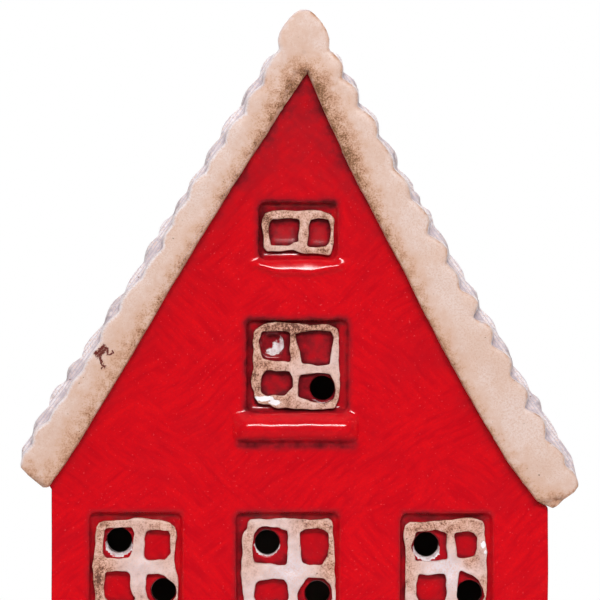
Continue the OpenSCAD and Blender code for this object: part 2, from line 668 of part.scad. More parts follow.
// The attic's lip is short, so it reaches less far beyond its window
attic_lip_place = [attic_x, attic_z, attic_w - sill_side, attic_h];
module attic_sill() {
  sill(attic_lip_place, attic_sill_h);
}
module loft_sill() {
  sill(loft_place, sill_h);
}
module upper_sill_left() {
  sill(upper_left_place, sill_h);
}
module upper_sill_centre() {
  sill(upper_centre_place, sill_h);
}
module upper_sill_right() {
  sill(upper_right_place, sill_h);
}
module ground_sill_left() {
  sill(ground_left_place, sill_h);
}
module ground_sill_right() {
  sill(ground_right_place, sill_h);
}

// Raised cream frame round the doorway, on the wall's face
module door_frame() {
  color("#dcc3a8") along_y(front_y - door_frame_out, front_y) difference() {
    polygon(arch(door_x, door_w + 2 * door_frame_w, step_top, door_h + door_frame_w));
    polygon(arch(door_x, door_w, step_top - cut, door_h + cut));
  }
}

// Door leaf in its recess, with grooves between its planks
module front_door() {
  leaf_w = door_w - 2 * fit;
  plank = leaf_w / plank_count;
  color("#8c1016") difference() {
    along_y(front_y + door_recess_d - door_t, front_y + door_recess_d)
      polygon(arch(door_x, leaf_w, step_top + fit, door_h - 2 * fit));
    for (i = [1 : plank_count - 1])
      translate([door_x - leaf_w / 2 + i * plank - plank_gap / 2,
        front_y + door_recess_d - door_t - cut, step_top])
        cube([plank_gap, plank_gap + cut, door_h]);
  }
}

// Ball knob on a short neck, standing on the door leaf
module door_knob() {
  knob_y = front_y + door_recess_d - door_t;
  color("#dcc3a8") translate([door_x + door_w / 2 - 1.5 * knob_d, knob_y, step_top + knob_height])
    rotate([90, 0, 0]) {
      cylinder(d = knob_d / 2, h = knob_reach);
      translate([0, 0, knob_reach]) sphere(d = knob_d);
    }
}

// Doorstep on the wall's face below the doorway
module doorstep() {
  color("#dcc3a8") along_x(door_x - step_w / 2, door_x + step_w / 2)
    polygon([
      [front_y, pad_t], [front_y, step_top], [front_y - 0.8 * step_out, step_top],
      [front_y - step_out, step_top - 0.2 * step_out], [front_y - step_out, pad_t]
    ]);
}

// Four felt pads under the corners
module felt_pads() {
  pad_x = outer_x - pad_inset - pad_d / 2;
  pad_y = back_y - pad_inset - pad_d / 2;
  color("#3d3a38") for (sx = [-1, 1], sy = [-1, 1])
    translate([sx * pad_x, sy * pad_y, 0]) cylinder(d = pad_d, h = pad_t);
}

// Cup of the tealight: wall, dished deck and two screw bosses
module tealight_cup() {
  color("#f2eee4") translate([0, 0, light_z]) difference() {
    union() {
      rotate_extrude() polygon([
        [cup_in_r, 0], [cup_r, 0], [cup_r, light_h + cup_t / 2],
        [cup_r - cup_t, light_h + cup_t / 2], [cup_r - 2 * cup_t, light_h],
        [flame_d / 2 + fit, light_h], [flame_d / 2 + fit, deck_z], [cup_in_r, deck_z]
      ]);
      for (a = screw_angles) rotate([0, 0, a]) translate([screw_ring_r, 0, base_t])
        cylinder(r = boss_r, h = deck_z + cup_t / 2 - base_t);
    }
    for (a = screw_angles) rotate([0, 0, a]) translate([screw_ring_r, 0, base_t - cut])
      cylinder(d = screw_d + 2 * fit, h = screw_len + cut);
  }
}

// Base plate: battery mouth with its lug notches, well wall, switch slot, blade posts
module tealight_base() {
  slot_l = slider_knob_l + switch_travel + 2 * gap;
  color("#e9e4d8") translate([0, 0, light_z]) difference() {
    union() {
      cylinder(r = base_r, h = base_t);
      cylinder(r = well_r, h = well_top);
      for (s = [-1, 1]) translate([s * blade_post_x - blade_post / 2,
        -slider_r - blade_post / 2, 0]) cube([blade_post, blade_post, blade_z]);
    }
    translate([0, 0, base_t]) cylinder(r = well_in_r, h = well_top);
    translate([0, 0, -cut]) cylinder(r = mouth_r, h = base_t + 2 * cut);
    for (turn = [0, 180]) rotate([0, 0, turn + cover_turn])
      lug_sector(lug_r + gap / 2, -cut, base_t + 2 * cut, lug_angle / 2 + notch_room);
    translate([-slot_l / 2, -slider_r - slot_w / 2 - gap, -cut])
      cube([slot_l, slot_w + 2 * gap, base_t + 2 * cut]);
    for (a = screw_angles) rotate([0, 0, a]) translate([screw_ring_r, 0, -cut]) {
      cylinder(d = screw_d + 2 * fit, h = base_t + 2 * cut);
      cylinder(d = screw_head_d + 2 * fit, h = cover_up + screw_head_t + cut);
    }
  }
}

// A slice of a disc, half_angle to each side of the X axis
module lug_sector(r, z0, h, half_angle) {
  translate([0, 0, z0]) linear_extrude(h) polygon([
    [0, 0], [r * cos(half_angle), -r * sin(half_angle)], [r, 0],
    [r * cos(half_angle), r * sin(half_angle)]
  ]);
}

// Two flat-head screws from the base plate up into the cup's bosses
module base_screws() {
  color("#b9bbbf") translate([0, 0, light_z]) for (a = screw_angles) rotate([0, 0, a])
    translate([screw_ring_r, 0, cover_up]) difference() {
      union() {
        cylinder(d = screw_head_d, h = screw_head_t);
        cylinder(d = screw_d, h = screw_len);
      }
      for (turn = [0, 90]) rotate([0, 0, turn])
        translate([-screw_d / 2, -strip_t / 2, -cut]) cube([screw_d, strip_t, cut + strip_t]);
    }
}

// Holder over the battery well: plate, hollow post and the collar under the flame tip
module led_holder() {
  color("#e9e4d8") translate([0, 0, light_z]) difference() {
    union() {
      translate([0, 0, well_top]) cylinder(r = well_r, h = holder_t);
      cylinder_between(post_r, holder_top, collar_top);
      cylinder_between(flange_r, collar_top - flange_t, collar_top);
    }
    cylinder_between(led_bore_r, well_top - cut, collar_top + cut);
    translate([0, 0, holder_top]) cube([led_pitch + 2 * led_leg, 2 * post_r + cut, 2 * led_leg],
      center = false);
  }
}
module cylinder_between(r, z0, z1) {
  translate([0, 0, z0]) cylinder(r = r, h = z1 - z0);
}

// Diode: rim, body, dome and two legs down to the contacts
module led() {
  leg_x = led_pitch / 2;
  color("#f6f1d8") translate([0, 0, light_z]) {
    cylinder_between(led_d / 2 + led_leg / 2, collar_top, collar_top + led_rim_t);
    cylinder_between(led_d / 2, collar_top, collar_top + led_h - led_d / 2);
    translate([0, 0, collar_top + led_h - led_d / 2]) sphere(d = led_d);
    translate([-leg_x - led_leg / 2, -led_leg / 2, well_top])
      cube([led_leg, led_leg, collar_top + led_rim_t - well_top]);
    translate([leg_x - led_leg / 2, -led_leg / 2, holder_top + strip_t])
      cube([led_leg, led_leg, collar_top + led_rim_t - holder_top - strip_t]);
    translate([leg_x - led_leg / 2, -led_leg / 2, holder_top + strip_t])
      cube([led_leg, post_r + 3 * led_leg, led_leg]);
  }
}

// Hollow flame: flange under the deck, straight neck, pointed tip
flame_shares = [
  [1, 0], [0.98, 0.19], [0.87, 0.44], [0.66, 0.66], [0.38, 0.86], [0.15, 0.97], [0, 1]
];
module flame_solid(shrink, top) {
  r = flame_d / 2;
  rotate_extrude() polygon(concat(
    [[0, collar_top - (shrink > 0 ? cut : 0)], [r - shrink, collar_top - (shrink > 0 ? cut : 0)]],
    [for (p = flame_shares)
      [max(0, p[0] * r - shrink), light_h + p[1] * (top - light_h)]]));
}
module flame_tip() {
  top = light_h + flame_h;
  color("#fff1cf") translate([0, 0, light_z]) difference() {
    union() {
      cylinder_between(flange_r, collar_top, collar_top + flange_t - fit / 2);
      flame_solid(0, top);
    }
    flame_solid(flame_t, top - 2 * flame_t);
  }
}

// Brass strip up the well wall, with a finger at the cell's rim and a tab on the holder
module contact_plus() {
  finger_z = tray_top + gap;
  color("#c9a24b") translate([0, 0, light_z]) {
    translate([-strip_w / 2, well_in_r - 2 * strip_t, lug_z])
      cube([strip_w, strip_t, well_top - lug_z]);
    translate([-strip_w / 2, cell_r + gap, finger_z])
      cube([strip_w, well_in_r - strip_t - cell_r - gap, strip_t]);
  }
}

// Sprung brass leaf under the holder, bent down over the cell
module contact_minus() {
  half = 0.45 * cell_d;
  color("#c9a24b") translate([0, 0, light_z]) along_y(-strip_w / 2, strip_w / 2) polygon([
    [-half, well_top], [-half, well_top - strip_t], [-half / 2, well_top - strip_t],
    [0, well_top - strip_t - strip_drop], [half / 2, well_top - strip_t - strip_drop / 2],
    [half / 2, well_top - strip_drop / 2], [0, well_top - strip_drop], [-half / 2, well_top]
  ]);
}

// Brass blade on its two posts over the switch slider
module switch_blade() {
  color("#c9a24b") translate([-blade_post_x - blade_post / 2, -slider_r - blade_post / 2,
    light_z + blade_z]) cube([2 * blade_post_x + blade_post, blade_post, strip_t]);
}

// Slider of the on and off switch, shown in its off place
module switch_slider() {
  color("#26262a") translate([-switch_travel / 2, -slider_r, light_z]) {
    translate([-slider_knob_l / 2, -slot_w / 2, gap])
      cube([slider_knob_l, slot_w, base_t + slider_t]);
    translate([-slider_l / 2, -slider_w / 2, base_t + gap])
      cube([slider_l, slider_w, slider_t]);
  }
}

// Battery cover: disc with a coin slot, tray wall round the cell and two bayonet lugs
module battery_cover() {
  color("#e9e4d8") translate([0, 0, light_z]) difference() {
    union() {
      cylinder_between(tray_r, cover_up, tray_top);
      for (turn = [0, 180]) rotate([0, 0, turn])
        lug_sector(lug_r, lug_z, lug_t, lug_angle / 2);
    }
    cylinder_between(tray_in_r, cell_z, tray_top + cut);
    translate([-cell_r / 2, -coin_slot_w / 2, cover_up - cut])
      cube([cell_r, coin_slot_w, cut + coin_slot_d]);
  }
}

// Coin cell: can with a slightly smaller cap on top
module coin_cell() {
  cap_t = 0.2 * cell_t;
  color("#c4c6c9") translate([0, 0, light_z]) {
    cylinder_between(cell_r, cell_z, cell_top - cap_t);
    cylinder_between(cell_r - 1.5 * cap_t, cell_top - cap_t, cell_top);
  }
}

front_wall();
back_wall();
side_wall_left();
side_wall_right();
floor_slab();
roof_slope_left();
roof_slope_right();
ridge_cap();
attic_window_frame();
loft_window_frame();
upper_window_frame_left();
upper_window_frame_centre();
upper_window_frame_right();
ground_window_frame_left();
ground_window_frame_right();
attic_sill();
loft_sill();
upper_sill_left();
upper_sill_centre();
upper_sill_right();
ground_sill_left();
ground_sill_right();
door_frame();
front_door();
door_knob();
doorstep();
felt_pads();
tealight_cup();
tealight_base();
base_screws();
led_holder();
led();
flame_tip();
contact_plus();
contact_minus();
switch_blade();
switch_slider();
battery_cover();
coin_cell();
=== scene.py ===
import math
from functools import partial

import bpy
import numpy as np
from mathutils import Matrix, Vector
from mathutils.bvhtree import BVHTree


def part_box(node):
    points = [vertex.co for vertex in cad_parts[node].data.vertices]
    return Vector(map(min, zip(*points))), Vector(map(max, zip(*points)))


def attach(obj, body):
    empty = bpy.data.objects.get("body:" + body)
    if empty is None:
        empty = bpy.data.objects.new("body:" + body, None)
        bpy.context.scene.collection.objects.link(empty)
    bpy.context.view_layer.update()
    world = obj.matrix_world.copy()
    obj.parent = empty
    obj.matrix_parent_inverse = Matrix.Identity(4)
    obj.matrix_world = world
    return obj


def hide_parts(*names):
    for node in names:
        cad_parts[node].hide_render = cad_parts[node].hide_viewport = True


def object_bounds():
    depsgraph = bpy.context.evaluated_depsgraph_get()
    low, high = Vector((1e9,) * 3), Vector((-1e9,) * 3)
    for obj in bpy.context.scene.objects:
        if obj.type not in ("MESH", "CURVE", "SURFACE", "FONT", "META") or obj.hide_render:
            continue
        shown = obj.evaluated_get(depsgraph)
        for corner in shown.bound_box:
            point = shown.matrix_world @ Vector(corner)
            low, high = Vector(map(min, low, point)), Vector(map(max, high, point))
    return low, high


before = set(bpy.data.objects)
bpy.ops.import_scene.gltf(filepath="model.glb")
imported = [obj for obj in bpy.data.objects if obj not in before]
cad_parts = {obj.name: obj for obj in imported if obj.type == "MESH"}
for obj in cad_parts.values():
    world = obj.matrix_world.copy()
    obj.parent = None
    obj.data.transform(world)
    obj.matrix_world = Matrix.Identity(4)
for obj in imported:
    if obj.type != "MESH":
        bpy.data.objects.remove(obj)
cad_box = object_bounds()
bpy.ops.object.select_all(action="DESELECT")

MM = 0.001
FAR = 1.0 # in metres, further than any point of the house
BODY_TRIANGLES = 190000
TRIM_TRIANGLES = 60000


# Small helpers

def rgb(hex_colour):
    """An sRGB hex colour as linear RGBA."""
    channels = [int(hex_colour[i:i + 2], 16) / 255 for i in (1, 3, 5)]
    linear = [c / 12.92 if c <= 0.04045 else ((c + 0.055) / 1.055) ** 2.4 for c in channels]
    return (*linear, 1.0)


def smooth_step(low, high, value):
    """0 below low, 1 above high and a soft ramp between them."""
    t = np.clip((value - low) / (high - low), 0, 1)
    return t * t * (3 - 2 * t)


def make_active(piece):
    """Selects one piece alone, ready for an operator."""
    bpy.ops.object.select_all(action="DESELECT")
    piece.select_set(True)
    bpy.context.view_layer.objects.active = piece


def modify(piece, kind, **settings):
    """Adds one modifier with its settings."""
    modifier = piece.modifiers.new(kind.lower(), kind)
    for name, value in settings.items():
        setattr(modifier, name, value)


def apply_all(piece):
    """Applies every modifier of a piece, in order, and drops its vertex groups."""
    make_active(piece)
    for modifier in list(piece.modifiers):
        bpy.ops.object.modifier_apply(modifier=modifier.name)
    piece.vertex_groups.clear()


def vectors(source, name):
    """One vector of each element as an array."""
    values = np.empty(len(source) * 3, np.float32)
    source.foreach_get(name, values)
    return values.reshape(-1, 3).astype(float)


def points_of(piece):
    """The vertices of a piece as an array of metres."""
    return vectors(piece.data.vertices, "co")


def normals_of(piece):
    """Vertex normals as an array."""
    return vectors(piece.data.vertex_normals, "vector")


def move_points(piece, co):
    """Writes an array of metres back to the vertices."""
    piece.data.vertices.foreach_set("co", co.astype(np.float32).ravel())
    piece.data.update()


def paint(piece, name, values):
    """Stores one number for each vertex, for the materials to read."""
    attribute = piece.data.attributes.new(name, "FLOAT", "POINT")
    attribute.data.foreach_set("value", np.asarray(values, np.float32))


def new_object(name, data):
    """A new object in the scene."""
    thing = bpy.data.objects.new(name, data)
    bpy.context.scene.collection.objects.link(thing)
    return thing


def copy_of(name, *nodes):
    """One merged mesh copied from CAD nodes, at the origin and free of its body."""
    copies = [new_object(name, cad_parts[node].data.copy()) for node in nodes]
    piece = copies[0]
    make_active(piece)
    for copy in copies:
        copy.data.materials.clear()
        copy.select_set(True)
    if len(copies) > 1:
        bpy.ops.object.join()
    bpy.ops.object.mode_set(mode="EDIT")
    bpy.ops.mesh.select_all(action="SELECT")
    bpy.ops.mesh.remove_doubles(threshold=0.01 * MM)
    bpy.ops.object.mode_set(mode="OBJECT")
    return piece


def wobble(piece, size, strength, seed):
    """Pushes a surface in and out a little, as a hand-worked clay slab is."""
    texture = bpy.data.textures.new(piece.name + "_wobble_" + str(seed), "CLOUDS")
    texture.noise_scale = size
    texture.noise_depth = 1
    modify(piece, "DISPLACE", texture=texture, texture_coords="LOCAL", strength=strength,
           mid_level=0.6)
    apply_all(piece)


def melt(piece, voxel, rounds):
    """Joins slabs into one body with rounded edges, as glaze does."""
    modify(piece, "REMESH", mode="VOXEL", voxel_size=voxel)
    modify(piece, "SMOOTH", factor=0.5, iterations=rounds)
    apply_all(piece)


def weigh(piece, name, weights):
    """A vertex group from an array of weights."""
    group = piece.vertex_groups.new(name=name)
    steps = np.round(weights * 10).astype(int)
    for step in range(1, 11):
        chosen = np.flatnonzero(steps == step)
        if len(chosen):
            group.add(chosen.tolist(), step / 10, "REPLACE")
    return name


def round_off(piece, weights, rounds):
    """Rounds off one region more than the rest, and gives the new points."""
    modify(piece, "SMOOTH", factor=0.5, iterations=rounds,
           vertex_group=weigh(piece, "region", weights))
    apply_all(piece)
    return points_of(piece)


def thin_out(piece, triangles, keep=None):
    """Takes the mesh down to a number of triangles, mostly where keep is low."""
    faces = sum(len(face.vertices) - 2 for face in piece.data.polygons)
    if faces > triangles:
        kept = "" if keep is None else weigh(piece, "keep", 1 - keep)
        modify(piece, "DECIMATE", ratio=triangles / faces, vertex_group=kept,
               vertex_group_factor=1.0)
        apply_all(piece)


def keep_inside(piece):
    """Holds every point inside the box of the construction."""
    move_points(piece, np.clip(points_of(piece), *np.array(cad_box)))


def finish_piece(piece, slot, body, *nodes):
    """Smooth shading, the material of its slot, a parent empty for its body, and hides the nodes
    it stands for.
    """
    make_active(piece)
    bpy.ops.object.shade_smooth()
    piece.data.materials.clear()
    piece.data.materials.append(SLOTS[slot])
    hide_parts(*nodes)
    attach(piece, body)


def corners(node):
    """The lowest and the highest corner of a node."""
    return [Vector(c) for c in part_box(node)]


# House planes, all from the frame

wall_low, wall_high = corners("front_wall")
cap_low, cap_high = corners("ridge_cap")
front_y = wall_low.y
roof_y = cap_high.y
ridge_x = (cap_low.x + cap_high.x) / 2
ridge_z = cap_high.z

# Dark red-brown stain on the left verge: strokes from x, z to x, z in mm, and their half width
VERGE_STAIN = [(-47.0, 125.3, -45.2, 127.0, 0.50), (-46.5, 124.7, -45.0, 126.2, 0.50),
               (-45.2, 127.0, -44.4, 126.3, 0.35), (-44.4, 126.3, -44.3, 125.3, 0.28),
               (-46.2, 124.6, -45.8, 123.6, 0.38), (-45.8, 123.6, -45.8, 122.9, 0.30),
               (-45.8, 122.9, -44.9, 122.3, 0.28), (-45.2, 122.5, -45.8, 121.9, 0.16),
               (-43.9, 125.1, -43.0, 125.5, 0.22), (-43.0, 125.5, -43.2, 126.1, 0.18)]


# Materials. The scale of each noise is 1000 / mm, for blotches that many millimetres across

# The setting that the second word of a node's kind fills in, where it isn't its operation
CHOICES = {"Mix": "data_type", "Attribute": "attribute_name"}


def add_node(tree, kind, *values, stops=(), out=None, **named):
    """Adds one node and gives one output. Values fill or link its inputs in order, names with a
    capital are inputs, other names are settings, and stops are a ramp's colours or levels."""
    kind, _, choice = kind.partition(" ")
    node = tree.nodes.new("ShaderNode" + kind)
    if choice:
        setattr(node, CHOICES.get(kind, "operation"), choice)
    filled = list(zip([socket for socket in node.inputs if socket.enabled], values))
    for name, value in named.items():
        if name[0].isupper():
            filled.append((node.inputs[name.replace("_", " ")], value))
        else:
            setattr(node, name, value)
    for socket, value in filled:
        if isinstance(value, bpy.types.NodeSocket):
            tree.links.new(value, socket)
        else:
            socket.default_value = rgb(value) if isinstance(value, str) else value
    for _ in stops[2:]:
        node.color_ramp.elements.new(0.5)
    for number, (place, level) in enumerate(stops):
        element = node.color_ramp.elements[number]
        element.position = place
        element.color = rgb(level) if isinstance(level, str) else (level, level, level, 1)
    return node.outputs[out] if out else next((o for o in node.outputs if o.enabled), None)


def new_material(name):
    """An empty node material, and the function that adds a node to it."""
    material = bpy.data.materials.new(name)
    material.use_nodes = True
    material.node_tree.nodes.clear()
    return material, partial(add_node, material.node_tree)


def coat(add, **shader):
    """Closes a material with its shader."""
    add("OutputMaterial", add("BsdfPrincipled", **shader))


def lay(add, colour, hue, level, *stops):
    """Lays a hue over a colour, as far as the stops say for a level."""
    return add("Mix RGBA", add("ValToRGB", level, stops=stops), colour, hue)


def swing(add, level, times):
    """A noise moved to swing about 0, and made so many times as wide."""
    return add("Math MULTIPLY", add("Math SUBTRACT", level, 0.5), times)


def drawn_out(add, where, turn_degrees, times, mm, *texture):
    """Noise turned in the front plane and drawn out along one way, as strokes and fibres are."""
    turned = add("Mapping", where, vector_type="TEXTURE",
                 Rotation=(0, math.radians(turn_degrees), 0), Scale=(1, 1, times))
    return add("TexNoise", turned, 1000 / mm, *texture)


def red_glaze(name, tones):
    # Red earthenware glaze, brushed on by hand in short arcs and fired glossy. The strokes show
    # as faint lighter and darker bands. It pools dark in corners and recesses, and painted shade
    # adds to that darkening in the recesses, under the sills, along the verges and up the gable.
    material, add = new_material(name)
    where = add("TexCoord", out="Object")
    drift = add("VectorMath SCALE", add("TexNoise", where, 1000 / 30, 1.0, out="Color"), 0.010)
    warped = add("VectorMath ADD", where, drift)
    rising = drawn_out(add, warped, 52, 7, 1.3, 3, 0.6)
    falling = drawn_out(add, warped, -48, 7, 1.5, 3, 0.6)
    patches = add("ValToRGB", add("TexNoise", where, 1000 / 19, 2),
                  stops=[(0.44, 0.0), (0.56, 1.0)])
    strokes = add("Mix FLOAT", patches, rising, falling)
    colour = add("ValToRGB", strokes, stops=list(zip((0.35, 0.5, 0.65), tones)))
    for hue, mm, detail, rough, *stops in (
            ("#B50E1C", 13, 4, 0.6, (0.50, 0.0), (0.74, 0.5)),
            ("#B80B1C", 0.55, 3, 0.7, (0.35, 0.35), (0.6, 0.0)),
            ("#EE5A60", 0.6, 2, 0.5, (0.66, 0.0), (0.74, 0.35))):
        colour = lay(add, colour, hue, add("TexNoise", where, 1000 / mm, detail, rough), *stops)
    fine = add("TexNoise", where, 1000 / 1.1, 4, 0.6)
    blotch = add("TexNoise", where, 1000 / 3.6, 4, 0.65)
    broken = add("Math MULTIPLY", add("Attribute pool", out="Fac"),
                 add("Math MULTIPLY_ADD", blotch, 2.4, -0.2))
    pool = add("Math ADD", broken, swing(add, fine, 0.32))
    # Darker red where the glaze pools and where shade is painted in.
    colour = lay(add, colour, "#971722", pool, (0.08, 0.0), (0.62, 0.85))
    colour = lay(add, colour, "#5A0E15", pool, (0.50, 0.0), (1.0, 0.9))
    # Bare clay, which also carries the pale patches painted as light on some hole lips and in the
    # blind hole.
    bare = add("Math ADD", add("Attribute clay", out="Fac"), swing(add, fine, 0.7))
    clay = add("ValToRGB", bare, stops=[(0.42, 0.0), (0.56, 1.0)])
    # The inside is painted dark grey-brown: painted shade for the unlit inside of the house.
    clay_colour = add("Mix RGBA", add("Attribute inside", out="Fac"), lay(
        add, "#C9A9AA", "#F6ECEE", fine, (0.35, 0.0), (0.6, 1.0)), "#54443D")
    gloss = add("ValToRGB", strokes, stops=[(0.3, 0.13), (0.7, 0.18)])
    gloss = lay(add, gloss, "#7A7A7A", pool, (0.45, 0.0), (0.8, 1.0))
    ridges = add("Bump", Strength=0.35, Distance=0.03 * MM, Height=strokes)
    coat(add, Base_Color=add("Mix RGBA", clay, colour, clay_colour),
         Roughness=add("Mix RGBA", clay, gloss, "#D0D0D0"), IOR=1.5, Specular_IOR_Level=0.5,
         Normal=add("Bump", Strength=0.35, Distance=0.03 * MM, Height=fine, Normal=ridges))
    return material


def antiqued(name, clean_and_painted_sky_lavender, pale, warm, tint, wash, dirt, marks=()):
    # Pale earthenware glaze, wiped with a brown wash after firing. The wash stays in hollows and
    # along inner edges in a fine mottle, and the pale glaze shows on what stands proud. Faces that
    # turn away from the front take a pale lavender, painted sky light; clean lattice parts take it
    # too.
    material, add = new_material(name)
    where = add("TexCoord", out="Object")
    blotch = add("TexNoise", where, 1000 / 8, 3)
    grain = add("TexNoise", where, 1000 / 0.42, 3, 0.8)
    cloud = add("TexNoise", where, 1000 / 2.0, 4, 0.65)
    warm_share = add("Attribute warm", out="Fac")
    colour = add("Mix RGBA", warm_share, clean_and_painted_sky_lavender, lay(add, pale, warm, blotch, (0.40, 0.0), (0.62, 1.0)))
    colour = lay(add, colour, tint, grain, (0.38, 0.6), (0.56, 0.0))
    spread = add("Math ADD", swing(add, grain, 3.0), swing(add, cloud, 2.2))
    washed = add("Attribute wash", out="Fac")
    broken = add("Math MULTIPLY_ADD", spread, add("Math MULTIPLY_ADD", washed, 0.8, 0.26), washed)
    # On faces painted with sky light the wash is tinted lavender grey as well.
    for hue, *stops in ((tint, (0.10, 0.0), (0.45, 0.75)), (wash, (0.40, 0.0), (0.85, 0.85)),
                        (dirt, (0.80, 0.0), (1.00, 0.90))):
        colour = lay(add, colour, add("Mix RGBA", warm_share, "#B8A8AE", hue), broken, *stops)
    pits = add("TexNoise", where, 1000 / 0.9, 1, 0.5)
    colour = lay(add, colour, dirt, pits, (0.755, 0.0), (0.785, 0.8))
    chip = add("Math ADD", add("Attribute chip", out="Fac"), swing(add, cloud, 1.2))
    colour = lay(add, colour, "#F6F1F4", chip, (0.48, 0.0), (0.54, 1.0))
    if marks:
        colour = add("Mix RGBA", streaks(add, where, grain, marks), colour, "#681E15")
        # Thin lines painted where shingle layers show: wash and painted shade between the layers.
        colour = add("Mix RGBA", layer_lines(add, where, cloud), colour, "#A99CB0")
    gritty = add("Bump", Strength=0.4, Distance=0.05 * MM, Height=grain)
    coat(add, Base_Color=colour, IOR=1.5, Specular_IOR_Level=0.45,
         Roughness=add("ValToRGB", broken, stops=[(0.2, 0.40), (0.9, 0.65)]),
         Normal=add("Bump", Strength=0.3, Distance=0.25 * MM, Height=blotch, Normal=gritty))
    return material


def layer_lines(add, where, cloud):
    """Thin darker lines where the layers of shingles show beside the verge, for the wash and
    painted shade in the gaps between layers.
    """
    place = add("SeparateXYZ", where).node.outputs
    aside = add("Math MULTIPLY", add("Math ABSOLUTE", place["X"]), 0.80)
    height = add("Math ADD", aside, add("Math MULTIPLY", place["Z"], 0.60))
    bent = add("Math MULTIPLY_ADD", cloud, 0.6 * MM, height)
    wave = add("Math SINE", add("Math MULTIPLY", bent, 2 * math.pi / (0.7 * MM)))
    return add("Math MULTIPLY", add("ValToRGB", wave, stops=[(0.35, 0.0), (0.95, 0.52)]),
               add("Attribute layers", out="Fac"))


def streaks(add, where, grain, marks):
    """A stain of short strokes in the front plane: ends in mm across and up, and half width."""
    shown = None
    place = add("SeparateXYZ", where).node.outputs
    flat = add("CombineXYZ", place["X"], 0.0, place["Z"])
    for x0, z0, x1, z1, wide in marks:
        span = Vector(((x1 - x0) * MM, 0, (z1 - z0) * MM))
        offset = add("VectorMath SUBTRACT", flat, (x0 * MM, 0, z0 * MM))
        along = add("VectorMath DOT_PRODUCT", offset, span / span.length_squared)
        foot = add("VectorMath SCALE", span, add("Clamp", along))
        away = add("VectorMath DISTANCE", offset, foot)
        stroke = add("Math SUBTRACT", 1.5, add("Math DIVIDE", away, wide * MM))
        shown = stroke if shown is None else add("Math MAXIMUM", shown, stroke)
    ragged = add("Math ADD", shown, swing(add, grain, 5.0))
    return add("Math MULTIPLY", add("ValToRGB", ragged, stops=[(0.35, 0.0), (0.75, 1.0)]),
               add("Math LESS_THAN", place["Y"], front_y))


def moulded(name, colour, roughness, grain_mm=0.8, see_through=0.0):
    # Injection-moulded plastic: even colour with a faint moulded texture and a soft sheen.
    material, add = new_material(name)
    where = add("TexCoord", out="Object")
    fine = add("TexNoise", where, 1000 / grain_mm, 3)
    broad = add("TexNoise", where, 1000 / 9, 2)
    coat(add, Base_Color=lay(add, colour, "#8F8878", broad, (0.3, 0.0), (0.8, 0.12)),
         Roughness=add("ValToRGB", fine, stops=[(0.3, roughness - 0.05), (0.7, roughness + 0.08)]),
         Normal=add("Bump", Strength=0.4, Distance=0.02 * MM, Height=fine), IOR=1.49,
         Subsurface_Weight=see_through, Subsurface_Radius=(0.004, 0.003, 0.002),
         Subsurface_Scale=1.0)
    return material


def metal(name, colour, roughness):
    # Plated or stamped metal strip: fine rolling lines along its length.
    material, add = new_material(name)
    lines = drawn_out(add, add("TexCoord", out="Object"), 0, 10, 0.5, 3)
    coat(add, Base_Color=lay(add, colour, "#6B6660", lines, (0.3, 0.0), (0.7, 0.25)),
         Roughness=add("ValToRGB", lines, stops=[(0.3, roughness), (0.7, roughness + 0.12)]),
         Metallic=1.0)
    return material


def bisque():
    # Unglazed white earthenware: chalky, slightly gritty, with pale grey blotches.
    material, add = new_material("bare_white_earthenware")
    where = add("TexCoord", out="Object")
    grit = add("TexNoise", where, 1000 / 0.7, 4, 0.6)
    broad = add("TexNoise", where, 1000 / 12, 3)
    colour = lay(add, "#E4DACE", "#CFC2B4", broad, (0.3, 0.0), (0.7, 1.0))
    coat(add, Base_Color=lay(add, colour, "#A39688", grit, (0.62, 0.0), (0.75, 0.4)),
         Normal=add("Bump", Strength=0.5, Distance=0.06 * MM, Height=grit), Roughness=0.85)
    return material


def felt():
    # Pressed wool felt: matt, with short tangled fibres that catch a little light.
    material, add = new_material("pressed_wool_felt")
    fibre = drawn_out(add, add("TexCoord", out="Object"), 40, 4, 0.4, 4, 0.7, 2.0, 1.5)
    coat(add, Base_Color=add("ValToRGB", fibre, stops=[(0.3, "#2B2826"), (0.7, "#4A4643")]),
         Normal=add("Bump", Strength=0.8, Distance=0.12 * MM, Height=fibre), Roughness=0.95,
         Sheen_Weight=0.25)
    return material


# The material of each slot
SLOTS = {
    "red_glaze": red_glaze("red_earthenware_glaze", ("#C60716", "#D30816", "#DC0915")),
    "door_glaze": red_glaze("dark_red_door_glaze", ("#8A0A14", "#930B15", "#9C0D17")),
    "cream_glaze": antiqued("cream_glaze_with_brown_wash", "#DED4DC", "#EBD1CD", "#E9C7B9",
                            "#DBAA94", "#A46547", "#5C3022"),
    "roof_glaze": antiqued("off_white_roof_glaze", "#EFE8EC", "#E0CAC2", "#DBBFB2", "#CC9E82",
                           "#A8704A", "#744C2E", VERGE_STAIN),
    "bare_clay": bisque(),
    "felt": felt(),
    "cup_plastic": moulded("white_polypropylene", "#F1EDE3", 0.4, 0.8, 0.15),
    "base_plastic": moulded("ivory_abs", "#E6E0D2", 0.45),
    "flame_plastic": moulded("frosted_polythene", "#FBEFD2", 0.5, 0.5, 0.6),
    "led_epoxy": moulded("clear_cast_epoxy", "#F3ECCB", 0.15),
    "slider_plastic": moulded("black_abs", "#232326", 0.45),
    "contact_brass": metal("stamped_brass_strip", "#C9A24B", 0.28),
    "steel": metal("bright_plated_steel", "#C3C5C8", 0.25),
}

SILLS = [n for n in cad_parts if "sill" in n and n != "attic_sill"]
HOLE_RADIUS = 2.9 * MM
DIMPLE_DEPTH = 0.62 * MM
